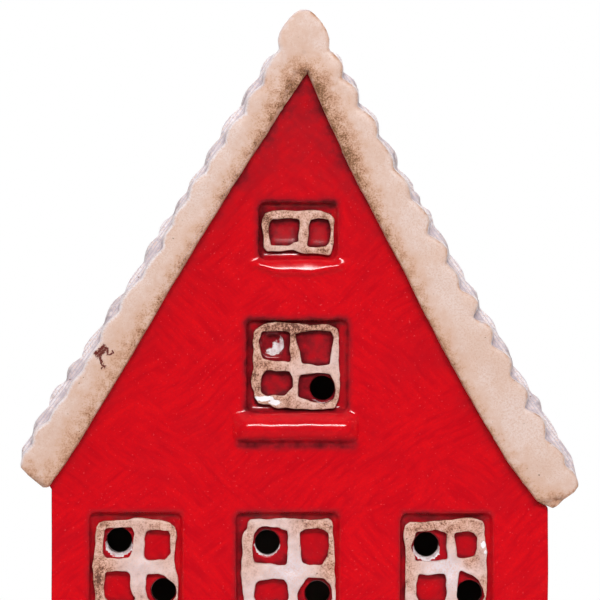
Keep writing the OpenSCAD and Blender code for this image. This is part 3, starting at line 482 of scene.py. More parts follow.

# Each window, in shares of its frame. Recess: left, right, foot and head. Pooled glaze and
# shade: how dark the red is made at those sides and in the panes, pooled glaze together with
# painted shade. Holes: side and height of each light hole. Hollows pressed into the other panes:
# left, right, foot and head. Wash on the lattice: overall, then patches of side, height, radius
# and strength. Chips to the clay: side, height, half sizes.
WINDOWS = {
    "attic_window_frame": {
        "recess": (-0.03, 1.04, -0.10, 1.16), "pooled": (0.80, 0.30, 0.30, 0.85, 0.62),
        "hollows": [(0.12, 0.52, 0.24, 0.78), (0.65, 0.94, 0.20, 0.78)],
        "wash": (0.58, [(0.1, 0.9, 0.3, 0.25), (0.9, 0.3, 0.3, 0.15), (0.3, 0.1, 0.3, -0.15)])},
    "loft_window_frame": {
        "recess": (-0.05, 1.09, -0.03, 1.03), "pooled": (0.80, 0.55, 0.60, 0.75, 0.72),
        "holes": [(0.80, 0.25)], "hollows": [(0.58, 0.92, 0.52, 0.92), (0.11, 0.46, 0.15, 0.45)],
        "wash": (0.60, [(0.5, 1.0, 0.42, 0.4), (0.6, 0.5, 0.25, -0.2), (0.05, 0.3, 0.25, 0.2),
                        (0.97, 0.6, 0.3, -0.3), (0.3, 0.5, 0.25, -0.1)]),
        "chips": [(0.14, 0.13, 0.11, 0.035), (0.27, 0.08, 0.07, 0.03)]},
    "upper_window_frame_left": {
        "recess": (-0.03, 1.05, -0.03, 1.06), "pooled": (0.50, 0.00, 0.45, 0.50, 0.28),
        "holes": [(0.31, 0.76), (0.83, 0.215)],
        "hollows": [(0.61, 0.92, 0.55, 0.87), (0.14, 0.45, 0.11, 0.42)],
        "wash": (0.46, [(0.1, 0.9, 0.25, 0.2), (0.85, 0.9, 0.3, 0.15), (0.05, 0.3, 0.22, 0.4),
                        (0.15, 0.55, 0.2, 0.15), (0.55, 0.5, 0.3, -0.3)])},
    "upper_window_frame_centre": {
        "recess": (-0.05, 1.03, -0.03, 1.06), "pooled": (0.65, 0.00, 0.45, 0.62, 0.42),
        "holes": [(0.275, 0.735), (0.805, 0.19)],
        "hollows": [(0.61, 0.93, 0.56, 0.89), (0.14, 0.49, 0.08, 0.34)],
        "wash": (0.16, [(0.08, 0.8, 0.2, 0.35), (0.1, 0.5, 0.2, 0.25), (0.7, 0.95, 0.3, 0.35),
                        (0.97, 0.75, 0.25, 0.4), (0.97, 0.4, 0.2, 0.4), (0.5, 0.55, 0.25, -0.2)])},
    "upper_window_frame_right": {
        "recess": (-0.04, 1.06, -0.03, 1.05), "pooled": (0.50, 0.20, 0.45, 0.62, 0.42),
        "holes": [(0.27, 0.715), (0.79, 0.19)],
        "hollows": [(0.61, 0.89, 0.58, 0.86), (0.14, 0.50, 0.09, 0.38)],
        "wash": (0.25, [(0.1, 0.92, 0.3, 0.3), (0.45, 0.95, 0.3, 0.35), (0.88, 0.93, 0.28, 0.3),
                        (0.03, 0.5, 0.25, 0.2), (0.05, 0.25, 0.25, 0.2), (0.78, 0.55, 0.14, 0.4),
                        (0.98, 0.25, 0.2, 0.4), (0.5, 0.45, 0.25, -0.4)]),
        "chips": [(0.955, 0.72, 0.035, 0.035), (0.985, 0.64, 0.02, 0.02)]},
}
WINDOWS["ground_window_frame_left"] = WINDOWS["upper_window_frame_centre"] | {
    "pooled": (0.60, 0.15, 0.45, 0.70, 0.35),
    "wash": (0.26, [(0.1, 0.9, 0.3, 0.3), (0.9, 0.2, 0.3, 0.3)])}
WINDOWS["ground_window_frame_right"] = WINDOWS["upper_window_frame_left"] | {
    "pooled": (0.50, 0.20, 0.45, 0.65, 0.35),
    "wash": (0.24, [(0.9, 0.9, 0.3, 0.4), (0.1, 0.3, 0.3, 0.3)])}
WINDOWS = dict(sorted(WINDOWS.items()))

# Light holes whose lower lip is pressed back and painted pale as bare clay, a painted highlight
# where light falls on the hole's lower wall: window, hole and width in mm
PAINTED_LIT_LIPS = [("upper_window_frame_left", 0, 0.80), ("upper_window_frame_right", 0, 0.75),
                ("upper_window_frame_centre", 0, 0.18), ("ground_window_frame_right", 1, 0.4)]

# The hole in the loft window that was started but not drilled through
BLIND_HOLE = (0.24, 0.755)


def hollows(piece, rounds):
    """How far each point lies in a hollow (above 0) or on a ridge (below 0), smoothed."""
    co, no = points_of(piece), normals_of(piece)
    edges = np.empty(len(piece.data.edges) * 2, np.int32)
    piece.data.edges.foreach_get("vertices", edges)
    edges = edges.reshape(-1, 2)
    count = np.bincount(edges.ravel(), minlength=len(co))

    def spread(values):
        total = np.zeros_like(values)
        np.add.at(total, edges[:, 0], values[edges[:, 1]])
        np.add.at(total, edges[:, 1], values[edges[:, 0]])
        return total / np.maximum(count, 1).reshape((-1,) + (1,) * (values.ndim - 1))

    soft = co
    for _ in range(rounds):
        soft = (soft + spread(soft)) / 2
    depth = ((soft - co) * no).sum(1)
    for _ in range(2):
        depth = (depth + spread(depth)) / 2
    return depth


# Roof: two slopes of beaver-tail shingles and the ridge cap, melted into one glazed body

EAVE_REACH = wall_high.x + 7.3 * MM
LEFT_DROP = 104.2 * MM
RIGHT_DROP = 107.9 * MM
VERGE_BAND = 3 * MM
TAIL_WIDTH = 7.6 * MM
TAIL_CUT = 2.6 * MM
VERGE_ROUND = 1.5 * MM
VERGE_FACE = 2 * MM

# Tails are counted from well before the first, and the tables have room for every row
TAILS_BEFORE = 20
TAIL_TABLE = (64, 64)

# Brown wash along the inner edge of each verge: place down the slope, reach in mm, strength
LEFT_WASH_SHARES = [(0.05, 2.2, 0.5), (0.09, 3.4, 0.62), (0.14, 5.4, 0.76), (0.3, 3.2, 0.72),
                    (0.5, 2.6, 0.66), (0.62, 3.5, 0.68), (0.75, 4.8, 0.64), (0.9, 5.0, 0.6),
                    (1.02, 4.2, 0.5)]
RIGHT_WASH_SHARES = [(0.05, 2.2, 0.7), (0.09, 3.2, 0.88), (0.14, 4.5, 0.95), (0.25, 4.2, 0.9),
                     (0.36, 3.6, 0.8), (0.5, 3.2, 0.6), (0.66, 3.0, 0.55), (0.8, 2.6, 0.45),
                     (1.02, 3.4, 0.5)]


class Slope:
    """One roof slope: its axes and its outlines, read off the construction."""

    def __init__(self, node, end, turn, wash):
        self.start = np.array([ridge_x, ridge_z])
        run = np.array(end) - self.start
        self.length = np.linalg.norm(run)
        self.along = run / self.length
        self.outward = turn * np.array([-self.along[1], self.along[0]])
        self.side = turn
        self.wash = np.array(wash)
        co = points_of(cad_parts[node])
        keys = np.round(co[:, [0, 2]] / (0.005 * MM)).astype(int)
        at_edge = co[:, 1] < -roof_y + 0.01 * MM
        at_band = np.abs(co[:, 1] + roof_y - VERGE_BAND) < 0.01 * MM
        edge_keys = {tuple(k) for k in keys[at_edge]}
        field = at_band & np.array([tuple(k) not in edge_keys for k in keys])
        self.field = self.outline(co[field], outer=True)
        self.edge = self.outline(co[at_edge], outer=True)
        self.under = self.outline(co[at_edge], outer=False)
        rise = self.field[:, 1]
        before, here, after = rise[:-2], rise[1:-1], rise[2:]
        inner = self.field[1:-1, 0]
        self.notches = inner[(here < before) & (here <= after)]
        self.butts = inner[(here > before) & (here >= after)]

    def outline(self, co, outer):
        """Points of the outline as place down the slope and height off its base line."""
        s, n = self.place(co)
        keep = (n > -1.9 * MM) if outer else (n < -3.5 * MM)
        keep &= (s > 0.04 * self.length) & (s < self.length * (1 if outer else 1.03))
        rows = np.unique(np.round(np.stack([s[keep], n[keep]], 1), 7), axis=0)
        return rows[np.argsort(rows[:, 0])]

    def place(self, co):
        """Place down the slope and height off the base line."""
        offset = co[:, [0, 2]] - self.start
        return offset @ self.along, offset @ self.outward

    def lift_off(self, co, height):
        """Moves points away from the base line."""
        co[:, [0, 2]] += height[:, None] * self.outward

    def covers(self, co):
        """Points on this side of the ridge."""
        return (co[:, 0] - ridge_x) * self.side > 0

    def tails(self, s, y):
        """The row of each point, and its place along that row counted in tails."""
        row = np.searchsorted(self.notches, s)
        return row, y / TAIL_WIDTH + 0.5 * (row % 2) + TAILS_BEFORE

    def shingles(self, s, y, rng):
        """Change of height that turns straight courses into rows of rounded tails."""
        row, tail = self.tails(s, y)
        last = len(self.notches) - 1
        top = self.notches[np.clip(row - 1, 0, last)]
        foot = self.notches[np.clip(row, 0, last)]
        butt = self.butts[np.clip(np.searchsorted(self.butts, top), 0, len(self.butts) - 1)]
        run = np.clip((s - top) / np.maximum(butt - top, MM), 0, 1)
        tail_no = np.floor(tail).astype(int)
        across = 2 * (tail - tail_no) - 1
        slip = rng.uniform(-0.5, 0.5, TAIL_TABLE)[row, tail_no] * MM
        lift = rng.uniform(-0.12, 0.14, TAIL_TABLE)[row, tail_no] * MM
        withdrawn = TAIL_CUT * (1 - np.sqrt(np.clip(1 - across ** 2, 0, 1))) + 0.5 * MM + slip
        moved = np.minimum(s + np.clip(withdrawn, 0, None) * run, foot)
        change = np.interp(moved, *self.field.T) - np.interp(s, *self.field.T)
        change -= 0.6 * MM * run * np.exp(-((np.abs(across) - 1) / 0.17) ** 2)
        change += lift * run
        whole = (row > 0) & (row <= last)
        return np.where(whole, change, 0)

    def grooves(self, s, y):
        """1 in the grooves between neighbouring tails, 0 on the tails."""
        across = 2 * (self.tails(s, y)[1] % 1) - 1
        return np.exp(-((np.abs(across) - 1) / 0.15) ** 2)

    def inner_edge(self):
        """Corners of the verge's inner edge in the front plane."""
        s, n = self.under.T
        return self.start + s[:, None] * self.along + n[:, None] * self.outward


SLOPES = [
    Slope("roof_slope_left", (-EAVE_REACH, ridge_z - LEFT_DROP), -1, LEFT_WASH_SHARES),
    Slope("roof_slope_right", (EAVE_REACH, ridge_z - RIGHT_DROP), 1, RIGHT_WASH_SHARES),
]


def shape_roof(piece):
    """Cuts the tails and rounds the verges of the melted roof."""
    co = points_of(piece)
    _, y, z = co.T
    rng = np.random.default_rng(11)
    band = roof_y - VERGE_BAND
    for slope in SLOPES:
        s, n = slope.place(co)
        surface = np.interp(s, *slope.field.T)
        outer = smooth_step(-2.2 * MM, -1.0 * MM, n - surface) * slope.covers(co)
        outer = outer * (z < cap_low.z - MM)
        outer = outer * (1 - smooth_step(-0.6 * MM, 0.2 * MM, np.abs(y) - band))
        change = outer * slope.shingles(s, y, rng)
        slope.lift_off(co, change)
    for slope in SLOPES:
        s, n = slope.place(co)
        rim = np.minimum(np.interp(s, *slope.edge.T) - n,
                         (n - np.interp(s, *slope.under.T)) * 4)
        rim = np.where(slope.covers(co) & (z < cap_low.z), rim, VERGE_ROUND)
        short = VERGE_ROUND - np.clip(rim, 0, VERGE_ROUND)
        inset = VERGE_ROUND - np.sqrt(VERGE_ROUND ** 2 - short ** 2)
        flat = smooth_step(roof_y - 1.5 * MM, roof_y - 0.3 * MM, np.abs(y))
        y -= np.sign(y) * inset * 0.75 * flat
    move_points(piece, co)


def line_distance(flat, bends):
    """Distance of points in the front plane from a line through its bends."""
    away = np.full(len(flat), FAR)
    for a, b in zip(bends[:-1], bends[1:]):
        run = b - a
        t = np.clip((flat - a) @ run / max(run @ run, 1e-12), 0, 1)
        away = np.minimum(away, np.linalg.norm(flat - a - t[:, None] * run, axis=1))
    return away


# The gable's tip between the verges: x, and height over the ridge, in mm
TIP_DEPTH = 32.5
TIP_LEFT = [(1.81, -14.34), (-3.94, -23.2), (-9.86, -TIP_DEPTH)]
TIP_RIGHT = [(1.81, -14.34), (5.45, -23.2), (9.86, -TIP_DEPTH)]


def inner_edges():
    """Both inner edges of the verges, from the gable's tip down to the eaves."""
    edges = []
    for slope, tip in zip(SLOPES, (TIP_LEFT, TIP_RIGHT)):
        top = np.array(tip) * MM + (0, ridge_z)
        rest = slope.inner_edge()
        edges.append(np.vstack([top, rest[rest[:, 1] < top[-1, 1] - MM]]))
    return edges


def paint_roof(piece):
    """Where the brown wash stays, which faces show the warmer front glaze, and which turn away
    from it and take the lavender of painted sky light.
    """
    co, no = points_of(piece), normals_of(piece)
    flat = co[:, [0, 2]]
    wash = np.clip(hollows(piece, 6) / (0.20 * MM), 0, 1) * 0.85
    facing, out = np.abs(no[:, 1]), np.abs(co[:, 1])
    at_face = out > roof_y - VERGE_FACE
    verge = smooth_step(0.35, 0.75, facing) * at_face
    edges = inner_edges()
    away = np.minimum(line_distance(flat, edges[0]), line_distance(flat, edges[1]))
    rim = (out > roof_y - 6 * MM) & (away < 1.2 * MM)
    inner = rim * (1 - smooth_step(0.35, 0.85, facing))
    warm = np.zeros(len(co))
    for slope in SLOPES:
        s = slope.place(co)[0]
        share = s / slope.length
        reach = np.interp(share, slope.wash[:, 0], slope.wash[:, 1]) * MM
        strength = np.interp(share, slope.wash[:, 0], slope.wash[:, 2])
        stain = strength * np.exp(-(away / reach) ** 1.6)
        # Brown wash in the grooves between tails, which also stands for the shade in them.
        tiles = slope.grooves(s, co[:, 1]) * (1 - verge) * (co[:, 2] < cap_low.z)
        wash_level = np.maximum(np.maximum(wash, 0.6 * tiles) * (1 - 0.7 * verge), stain * verge)
        wash_level = wash_level * (1 - inner) + 0.55 * inner
        # More wash on the right verge's faces turned about 47 degrees from the front.
        turned = np.exp(-((facing - 0.68) / 0.16) ** 2) * (slope.side > 0)
        wash_level += 0.5 * turned * at_face * (1 - rim)
        # More wash on the verges' front faces near the ridge.
        near_ridge = (0.1, 0.3) if slope.side < 0 else (0.05, 0.09)
        wash_level += 0.15 * verge * (1 - smooth_step(*near_ridge, share))
        wash = np.where(slope.covers(co), wash_level, wash)
        warm = np.where(slope.covers(co) & rim, 1.0, warm)
    # The same thin painted lines, near the left verge's inner edge.
    inner_edge_lines = np.zeros(len(co))
    for slope, edge in zip(SLOPES, edges):
        share = slope.place(co)[0] / slope.length
        near = 1 - smooth_step(0.8 * MM, 2.2 * MM, line_distance(flat, edge))
        middle = smooth_step(0.2, 0.3, share) * (1 - smooth_step(0.5, 0.65, share))
        inner_edge_lines += 0.5 * verge * near * middle * slope.covers(co) * (slope.side < 0)
    layers = (1 - verge) * smooth_step(0.25, 0.5, facing) * (
        out < roof_y - VERGE_FACE) * (out > roof_y - 9 * MM)
    paint(piece, "wash", wash * (1 - 0.5 * layers))
    # Faces turned away from the front take the lavender of painted sky light.
    outer = (no[:, 0] < 0.35) & (away > 3 * MM)
    outer_edge = np.where(outer, smooth_step(0.6, 0.97, facing), 1.0)
    paint(piece, "warm", np.maximum(verge * outer_edge, warm))
    paint(piece, "layers", layers + inner_edge_lines)
    paint(piece, "chip", np.zeros(len(co)))


# Half width of the ridge cap's crown as a share, by depth under its top in mm
CROWN_SHARES = [(0, 0.62), (1.5, 0.68), (3.5, 0.83), (5.3, 0.93), (7.0, 1.0)]


def shape_crown(piece):
    """Draws the cap's top in to a blunt point and sharpens the gable's tip under it."""
    co = points_of(piece)
    x, _, z = co.T
    shift = np.zeros(len(co))
    for slope, edge in zip(SLOPES, inner_edges()):
        built = slope.inner_edge()
        built = built[np.argsort(built[:, 1])]
        was = np.interp(z, built[:, 1], built[:, 0])
        wanted = np.interp(z, edge[::-1, 1], edge[::-1, 0])
        near = (x - was) * slope.side
        reach = (near > -0.8 * MM) * (1 - smooth_step(MM, 6 * MM, near))
        shift += (wanted - was) * reach * (z > ridge_z - TIP_DEPTH * MM) * (
            1 - smooth_step(ridge_z - 13 * MM, ridge_z - 9 * MM, z))
    x += shift
    depth, share = np.array(CROWN_SHARES).T
    draw = np.interp((ridge_z - z) / MM, depth, share)
    x[:] = ridge_x + (x - ridge_x) * draw + 0.3 * MM * (1 - draw)
    move_points(piece, co)


def roof():
    """Both slopes and the cap, melted into one glazed body."""
    nodes = ["roof_slope_left", "roof_slope_right", "ridge_cap"]
    piece = copy_of("roof", *nodes)
    melt(piece, 0.45 * MM, 1)
    shape_crown(piece)
    shape_roof(piece)
    wobble(piece, 0.009, 0.0005, 2)
    co = round_off(piece, np.ones(len(piece.data.vertices)), 1)
    shown = np.zeros(len(co))
    for slope in SLOPES:
        s, n = slope.place(co)
        shown = np.where(slope.covers(co), n - np.interp(s, *slope.under.T) > 1.5 * MM, shown)
    shown = np.maximum(shown, np.abs(co[:, 1]) > roof_y - 3 * MM)
    thin_out(piece, BODY_TRIANGLES, shown * 0.85)
    keep_inside(piece)
    paint_roof(piece)
    finish_piece(piece, "roof_glaze", "house", *nodes)


def lattice(node):
    """One hand-cut window frame, its edges melted round by the glaze."""
    piece = copy_of(node + "_glazed", node)
    melt(piece, 0.24 * MM, 3)
    wobble(piece, 0.0035, 0.0008, 3)
    round_off(piece, np.ones(len(piece.data.vertices)), 3)
    thin_out(piece, TRIM_TRIANGLES)
    co = points_of(piece)
    low, high = corners(node)
    across = (co[:, 0] - low.x) / (high.x - low.x)
    up = (co[:, 2] - low.z) / (high.z - low.z)
    shape = (high.z - low.z) / (high.x - low.x)
    deep = smooth_step(0.35 * MM, 1.3 * MM, co[:, 1] - low.y)
    ridge = np.clip(-hollows(piece, 4) / (0.12 * MM), 0, 1)
    base, patches = WINDOWS[node]["wash"]
    dirty = np.full(len(co), base)
    for u, v, radius, strength in patches:
        away = np.hypot(across - u, (up - v) * shape) / radius
        dirty += strength * np.exp(-away ** 2)
    chip = np.zeros(len(co))
    for u, v, wide, tall in WINDOWS[node].get("chips", ()):
        away = np.hypot((across - u) / wide, (up - v) / tall)
        chip = np.maximum(chip, 1 - 0.5 * away)
    paint(piece, "wash", np.clip(dirty, 0, 1.2) * (1 - 0.55 * ridge) + 0.5 * deep)
    paint(piece, "warm", np.clip(0.25 + 1.2 * dirty, 0, 1))
    paint(piece, "chip", chip)
    finish_piece(piece, "cream_glaze", "house", node)


def glazed_trim(name, node, slot, voxel):
    """A small glazed clay piece with melted edges."""
    piece = copy_of(name, node)
    melt(piece, voxel, 3)
    thin_out(piece, TRIM_TRIANGLES)
    keep_inside(piece)
    paint(piece, "wash", np.clip(hollows(piece, 4) / (0.15 * MM), 0, 1) * 0.8 + 0.1)
    paint(piece, "warm", np.full(len(piece.data.vertices), 0.6))
    for plain in ("pool", "clay", "inside", "chip"):
        paint(piece, plain, np.zeros(len(piece.data.vertices)))
    finish_piece(piece, slot, "house", node)


def moulded_copy(node, slot, body, edge):
    """A moulded or stamped piece with its small edge radius."""
    piece = copy_of(node + "_finished", node)
    modify(piece, "BEVEL", width=edge, segments=2, limit_method="ANGLE",
           angle_limit=math.radians(40), use_clamp_overlap=True)
    apply_all(piece)
    finish_piece(piece, slot, body, node)
    bpy.ops.object.shade_smooth_by_angle(angle=math.radians(35))


# Depths behind the front plane that hold the relief, its paint and the lattices
RELIEF_DEPTH = 4.6 * MM
PAINT_DEPTH = 4.3 * MM
LATTICE_DEPTH = 4.4 * MM
RECESS_CORNER = 1.2 * MM

# The one recess whose right edge is rounded once, not twice
CRISP_RECESS = "ground_window_frame_left"

SILL_END = 3.2 * MM
TUCKED_IN = 0.8 * MM


def box_distance(co, low_x, high_x, low_z, high_z, corner):
    """Distance in the front plane to a rectangle with rounded corners, below 0 inside."""
    across = np.abs(co[:, 0] - (low_x + high_x) / 2) - (high_x - low_x) / 2 + corner
    up = np.abs(co[:, 2] - (low_z + high_z) / 2) - (high_z - low_z) / 2 + corner
    outside = np.hypot(np.clip(across, 0, None), np.clip(up, 0, None))
    return outside + np.clip(np.maximum(across, up), None, 0) - corner


def share_box(node, left, right, foot, head):
    """A part of a window in metres, from shares of its frame."""
    low, high = corners(node)
    wide, tall = high.x - low.x, high.z - low.z
    return low.x + left * wide, low.x + right * wide, low.z + foot * tall, low.z + head * tall


def share_place(node, across, up):
    """A place in a window in metres, from its shares of the frame."""
    x, _, z, _ = share_box(node, across, across, up, up)
    return x, z


def hole_distance(co):
    """Distance in the front plane from the nearest light hole's rim."""
    away = np.full(len(co), FAR)
    for node, window in WINDOWS.items():
        for hole in window.get("holes", ()):
            x, z = share_place(node, *hole)
            away = np.minimum(away, np.hypot(co[:, 0] - x, co[:, 2] - z) - HOLE_RADIUS)
    return away


def lip_place(co, node, number):
    """Distance from a light hole's middle, and how squarely each point lies below it."""
    x, z = share_place(node, *WINDOWS[node]["holes"][number])
    reach = np.hypot(co[:, 0] - x, co[:, 2] - z)
    return reach, np.clip((z - co[:, 2]) / np.maximum(reach, 1e-6), 0, 1) ** 0.7


def recess(node):
    """The recess of a window in metres: left, right, foot and head."""
    return share_box(node, *WINDOWS[node]["recess"])


def recess_distance(co, node):
    """Distance in the front plane from the edge of a window's recess, below 0 inside."""
    return box_distance(co, *recess(node), RECESS_CORNER)


def attic_lip(co):
    """How far the attic's thin lip stands out: it slopes down from the recess to its crest."""
    x, _, z = co.T
    low, high = corners("attic_sill")
    foot = recess("attic_window_frame")[2]
    along = (x - low.x) / (high.x - low.x)
    crest = low.z + MM * (6.8 * (along - 0.52) ** 2 - 1.4 + 0.18 * np.sin(along * 17))
    above = np.clip((foot - z) / (foot - crest), 0, 1)
    below = np.sqrt(1 - np.clip((crest - z) / (1.2 * MM), 0, 1) ** 2)
    ends = smooth_step(-0.06, 0.10, along) * (1 - smooth_step(0.90, 1.06, along))
    return 0.95 * MM * np.where(z > crest, above, below) * ends


def shape_body(body):
    """Rounds the recesses and sills and presses the hollows into the panes."""
    co = points_of(body)
    front = co[:, 1] - front_y < RELIEF_DEPTH
    clear = smooth_step(0.2 * MM, 0.9 * MM, hole_distance(co))
    edges = np.zeros(len(co))
    for node in WINDOWS:
        rim = np.abs(recess_distance(co, node))
        edges = np.maximum(edges, (1 - smooth_step(0.8 * MM, 2.2 * MM, rim)) * front)
    co = round_off(body, edges * clear, 10)
    faint = np.zeros(len(co))
    for node in WINDOWS:
        if node == CRISP_RECESS:
            continue
        _, x1, z0, z1 = recess(node)
        near = box_distance(co, x1 - 0.2 * MM, x1 + 0.2 * MM, z0, z1, 0)
        faint = np.maximum(faint, (1 - smooth_step(MM, 2.4 * MM, near)) * front)
    co = round_off(body, faint * clear, 20)
    x, y, z = co.T
    sills = np.zeros(len(co))
    for node in SILLS:
        low, high = corners(node)
        near = box_distance(co, low.x, high.x, low.z, high.z, MM)
        out = np.clip(front_y - y, 0, None)
        end = np.minimum(x - low.x, high.x - x)
        bulge = (z - (low.z + high.z) / 2) / (high.z - low.z) * 1.94
        fade = smooth_step(-0.2 * MM, SILL_END, end) ** 0.5
        fade *= np.sqrt(np.clip(1 - bulge ** 2, 0.04, 1))
        inside = (near < 0.8 * MM) & (out > 0.05 * MM)
        y[inside] = (front_y - out * fade)[inside]
        ripple = np.sin(x / (1.3 * MM)) * np.sin(x / (3.1 * MM) + 1)
        z += 0.12 * MM * ripple * inside
        sills = np.maximum(sills, (1 - smooth_step(0.5 * MM, 2.2 * MM, near)) * front)
    move_points(body, co)
    co = round_off(body, sills * clear, 12)
    lip = attic_lip(co) * (np.abs(co[:, 1] - front_y) < 0.3 * MM)
    co[:, 1] -= lip
    move_points(body, co)
    co = round_off(body, np.clip(lip / (0.1 * MM), 0, 1), 3)
    _, y, z = co.T
    floor = smooth_step(0.9 * MM, 1.5 * MM, y - front_y) * (y - front_y < 3 * MM)
    for node, window in WINDOWS.items():
        for place in window["hollows"]:
            x0, x1, z0, z1 = share_box(node, *place)
            near = box_distance(co, x0, x1, z0, z1, 1.8 * MM)
            rise = np.clip((z - z0) / (z1 - z0), 0, 1)
            pressed = DIMPLE_DEPTH * (0.12 + 0.88 * rise)
            y += pressed * (1 - smooth_step(-1.3 * MM, 0.2 * MM, near)) * floor
    # These lips are pressed back a little, and painted pale further on.
    for node, number, wide in PAINTED_LIT_LIPS:
        reach, down = lip_place(co, node, number)
        share = (reach - HOLE_RADIUS) / (wide * MM * down + 1e-6)
        broken = (share > -0.3) & (share < 1) & (y - front_y < 2.8 * MM)
        y += np.where(broken, 1.2 * MM * (1 - np.clip(share, 0, 1)), 0) * floor
    move_points(body, co)


def tuck_under_roof(body):
    """Runs the walls' sloping tops a little way up into the roof, so that no gap shows."""
    co = points_of(body)
    for slope in SLOPES:
        s, n = slope.place(co)
        gap = np.interp(s, *slope.under.T) - n
        tucked = slope.covers(co) & (gap < MM) & (s < slope.length * 1.05)
        push = TUCKED_IN * (1 - smooth_step(0.3 * MM, MM, gap)) * tucked
        slope.lift_off(co, push)
    move_points(body, co)


def bar_distance(co, node):
    """Distance from a lattice for the points of its recess."""
    solid = BVHTree.FromObject(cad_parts[node], bpy.context.evaluated_depsgraph_get())
    away = np.full(len(co), FAR)
    inside = (recess_distance(co, node) < 0) & (co[:, 1] - front_y < LATTICE_DEPTH)
    for i in np.flatnonzero(inside):
        away[i] = solid.find_nearest(co[i])[3]
    return away


def paint_body(body):
    """Where the glaze pools and shade is painted dark, where bare clay and painted glints show,
    and the dark-painted inside.
    """
    co = points_of(body)
    x, y, z = co.T
    depth = y - front_y
    front = depth < PAINT_DEPTH
    at_face = np.abs(depth) < MM
    sunk = smooth_step(0.1 * MM, 1.0 * MM, depth) * front
    # Glaze pooled dark in hollows, which also stands for the shade in them.
    pool = np.clip(hollows(body, 5) / (0.30 * MM), 0, 1) * 0.3
    for node, window in WINDOWS.items():
        x0, x1, z0, z1 = recess(node)
        left, right, foot, head, panes = window["pooled"]
        past_x = np.maximum(np.maximum(x0 - x, x - x1) + MM, 0)
        past_z = np.maximum(np.maximum(z0 - z, z - z1) + MM, 0)
        # Painted shade along each side of the recess, fading out from its edge.
        for side, gap, past, wide in ((left, x - x0, past_z, 1.3),
                                      (right, x1 - x, past_z, 1.3),
                                      (foot, z - z0, past_x, 1.0),
                                      (head, z1 - z, past_x, 1.4)):
            shade = np.exp(-(np.hypot(gap - 0.4 * MM, past) / (wide * MM)) ** 2)
            pool = np.maximum(pool, side * shade * front)
        # Painted shade over the panes sunk in the recess, together with the glaze pooled there.
        within = box_distance(co, *share_box(node, 0.04, 0.96, 0.04, 0.96), MM)
        pool = np.maximum(pool, panes * sunk * (within < 0))
        # A dark line along the lattice bars: glaze pooled against them and painted shade beside
        # them.
        bars = np.exp(-(bar_distance(co, node) / (0.55 * MM)) ** 2)
        pool += 0.4 * bars * sunk * (0.3 + panes)
        for place in window["hollows"]:
            x0, x1, z0, z1 = share_box(node, *place)
            near = box_distance(co, x0, x1, z0, z1, 1.5 * MM)
            across = (x - x0 - 0.45 * (x1 - x0)) / (0.36 * (x1 - x0))
            up = (z - z0 - 0.45 * (z1 - z0)) / (0.36 * (z1 - z0))
            # Painted light: the middle of each pressed pane is made lighter.
            painted_pane_light = np.exp(-np.hypot(across, up) ** 2)
            pool -= 0.28 * painted_pane_light * sunk * (near < 0)
    # Painted shadow under each sill.
    for node in SILLS:
        low, high = corners(node)
        under = box_distance(co, low.x + 1.5 * MM, high.x - MM, low.z - 0.6 * MM,
                             low.z + 0.4 * MM, 0.4 * MM)
        pool = np.maximum(pool, 0.68 * (1 - smooth_step(0, 1.9 * MM, under)) * front)
    flat = co[:, [0, 2]]
    # Painted shade on the wall along the inner edge of each verge.
    for edge in inner_edges():
        verge = line_distance(flat, edge)
        pool = np.maximum(pool, 0.36 * np.exp(-verge / (2.5 * MM)) * at_face)
    # Painted shade: the red darkens towards the top of the gable, under the roof.
    pool += 0.32 * smooth_step(ridge_z - 62 * MM, ridge_z - 24 * MM, z) * at_face
    # A dark ring round each light hole.
    pool = np.maximum(pool, 0.8 * np.exp(-(hole_distance(co) / (0.4 * MM)) ** 2) * front)
    clay = np.zeros(len(co))
    # On these holes only the lower lip is painted pale as bare clay: a painted highlight where
    # light falls on the hole's lower wall.
    for node, number, wide in PAINTED_LIT_LIPS:
        reach, down = lip_place(co, node, number)
        inside = (reach < HOLE_RADIUS + (wide * down + 0.1) * MM) & (down > 0.3)
        clay = np.maximum(clay, inside * front)
    # A painted highlight: a pale patch in the lower right of the blind hole stands for its gloss.
    hole_x, hole_z = share_place("loft_window_frame", *BLIND_HOLE)
    lean = ((x - hole_x) - (z - hole_z)) / (2.9 * MM)
    painted_glint_in_blind_hole = (np.hypot(x - hole_x, z - hole_z) < 2.8 * MM) & (depth < 4 * MM)
    clay = np.maximum(clay, painted_glint_in_blind_hole * smooth_step(-0.9, 0.8, lean) * 0.66)
    # The walls' inside faces, which are painted dark as shade.
    inner = (np.abs(x) < wall_high.x - 4.0 * MM) & (depth > 3.4 * MM)
    inner &= y < -front_y - 3.8 * MM
    paint(body, "pool", np.clip(pool, 0, 1.2))
    rim = z < wall_low.z + 0.35 * MM
    paint(body, "clay", np.maximum(clay, inner | rim))
    paint(body, "inside", inner & ~rim)


def house_body():
    """Four walls and the sills melted into one glazed body, the attic's lip drawn out of it."""
    nodes = ["front_wall", "back_wall", "side_wall_left", "side_wall_right", *SILLS]
    body = copy_of("house_body", *nodes)
    melt(body, 0.5 * MM, 2)
    shape_body(body)
    tuck_under_roof(body)
    wobble(body, 0.022, 0.0005, 1)
    co = points_of(body)
    front = np.abs(co[:, 1] - front_y) < RELIEF_DEPTH
    near = np.min([recess_distance(co, node) for node in WINDOWS], axis=0)
    detail = front * np.where(near < 4 * MM, 0.9, 0.55)
    edges = smooth_step(0.01 * MM, 0.04 * MM, np.abs(hollows(body, 6)))
    thin_out(body, BODY_TRIANGLES, np.maximum(detail, 0.75 * edges))
    keep_inside(body)
    paint_body(body)
    finish_piece(body, "red_glaze", "house", *nodes, "attic_sill")


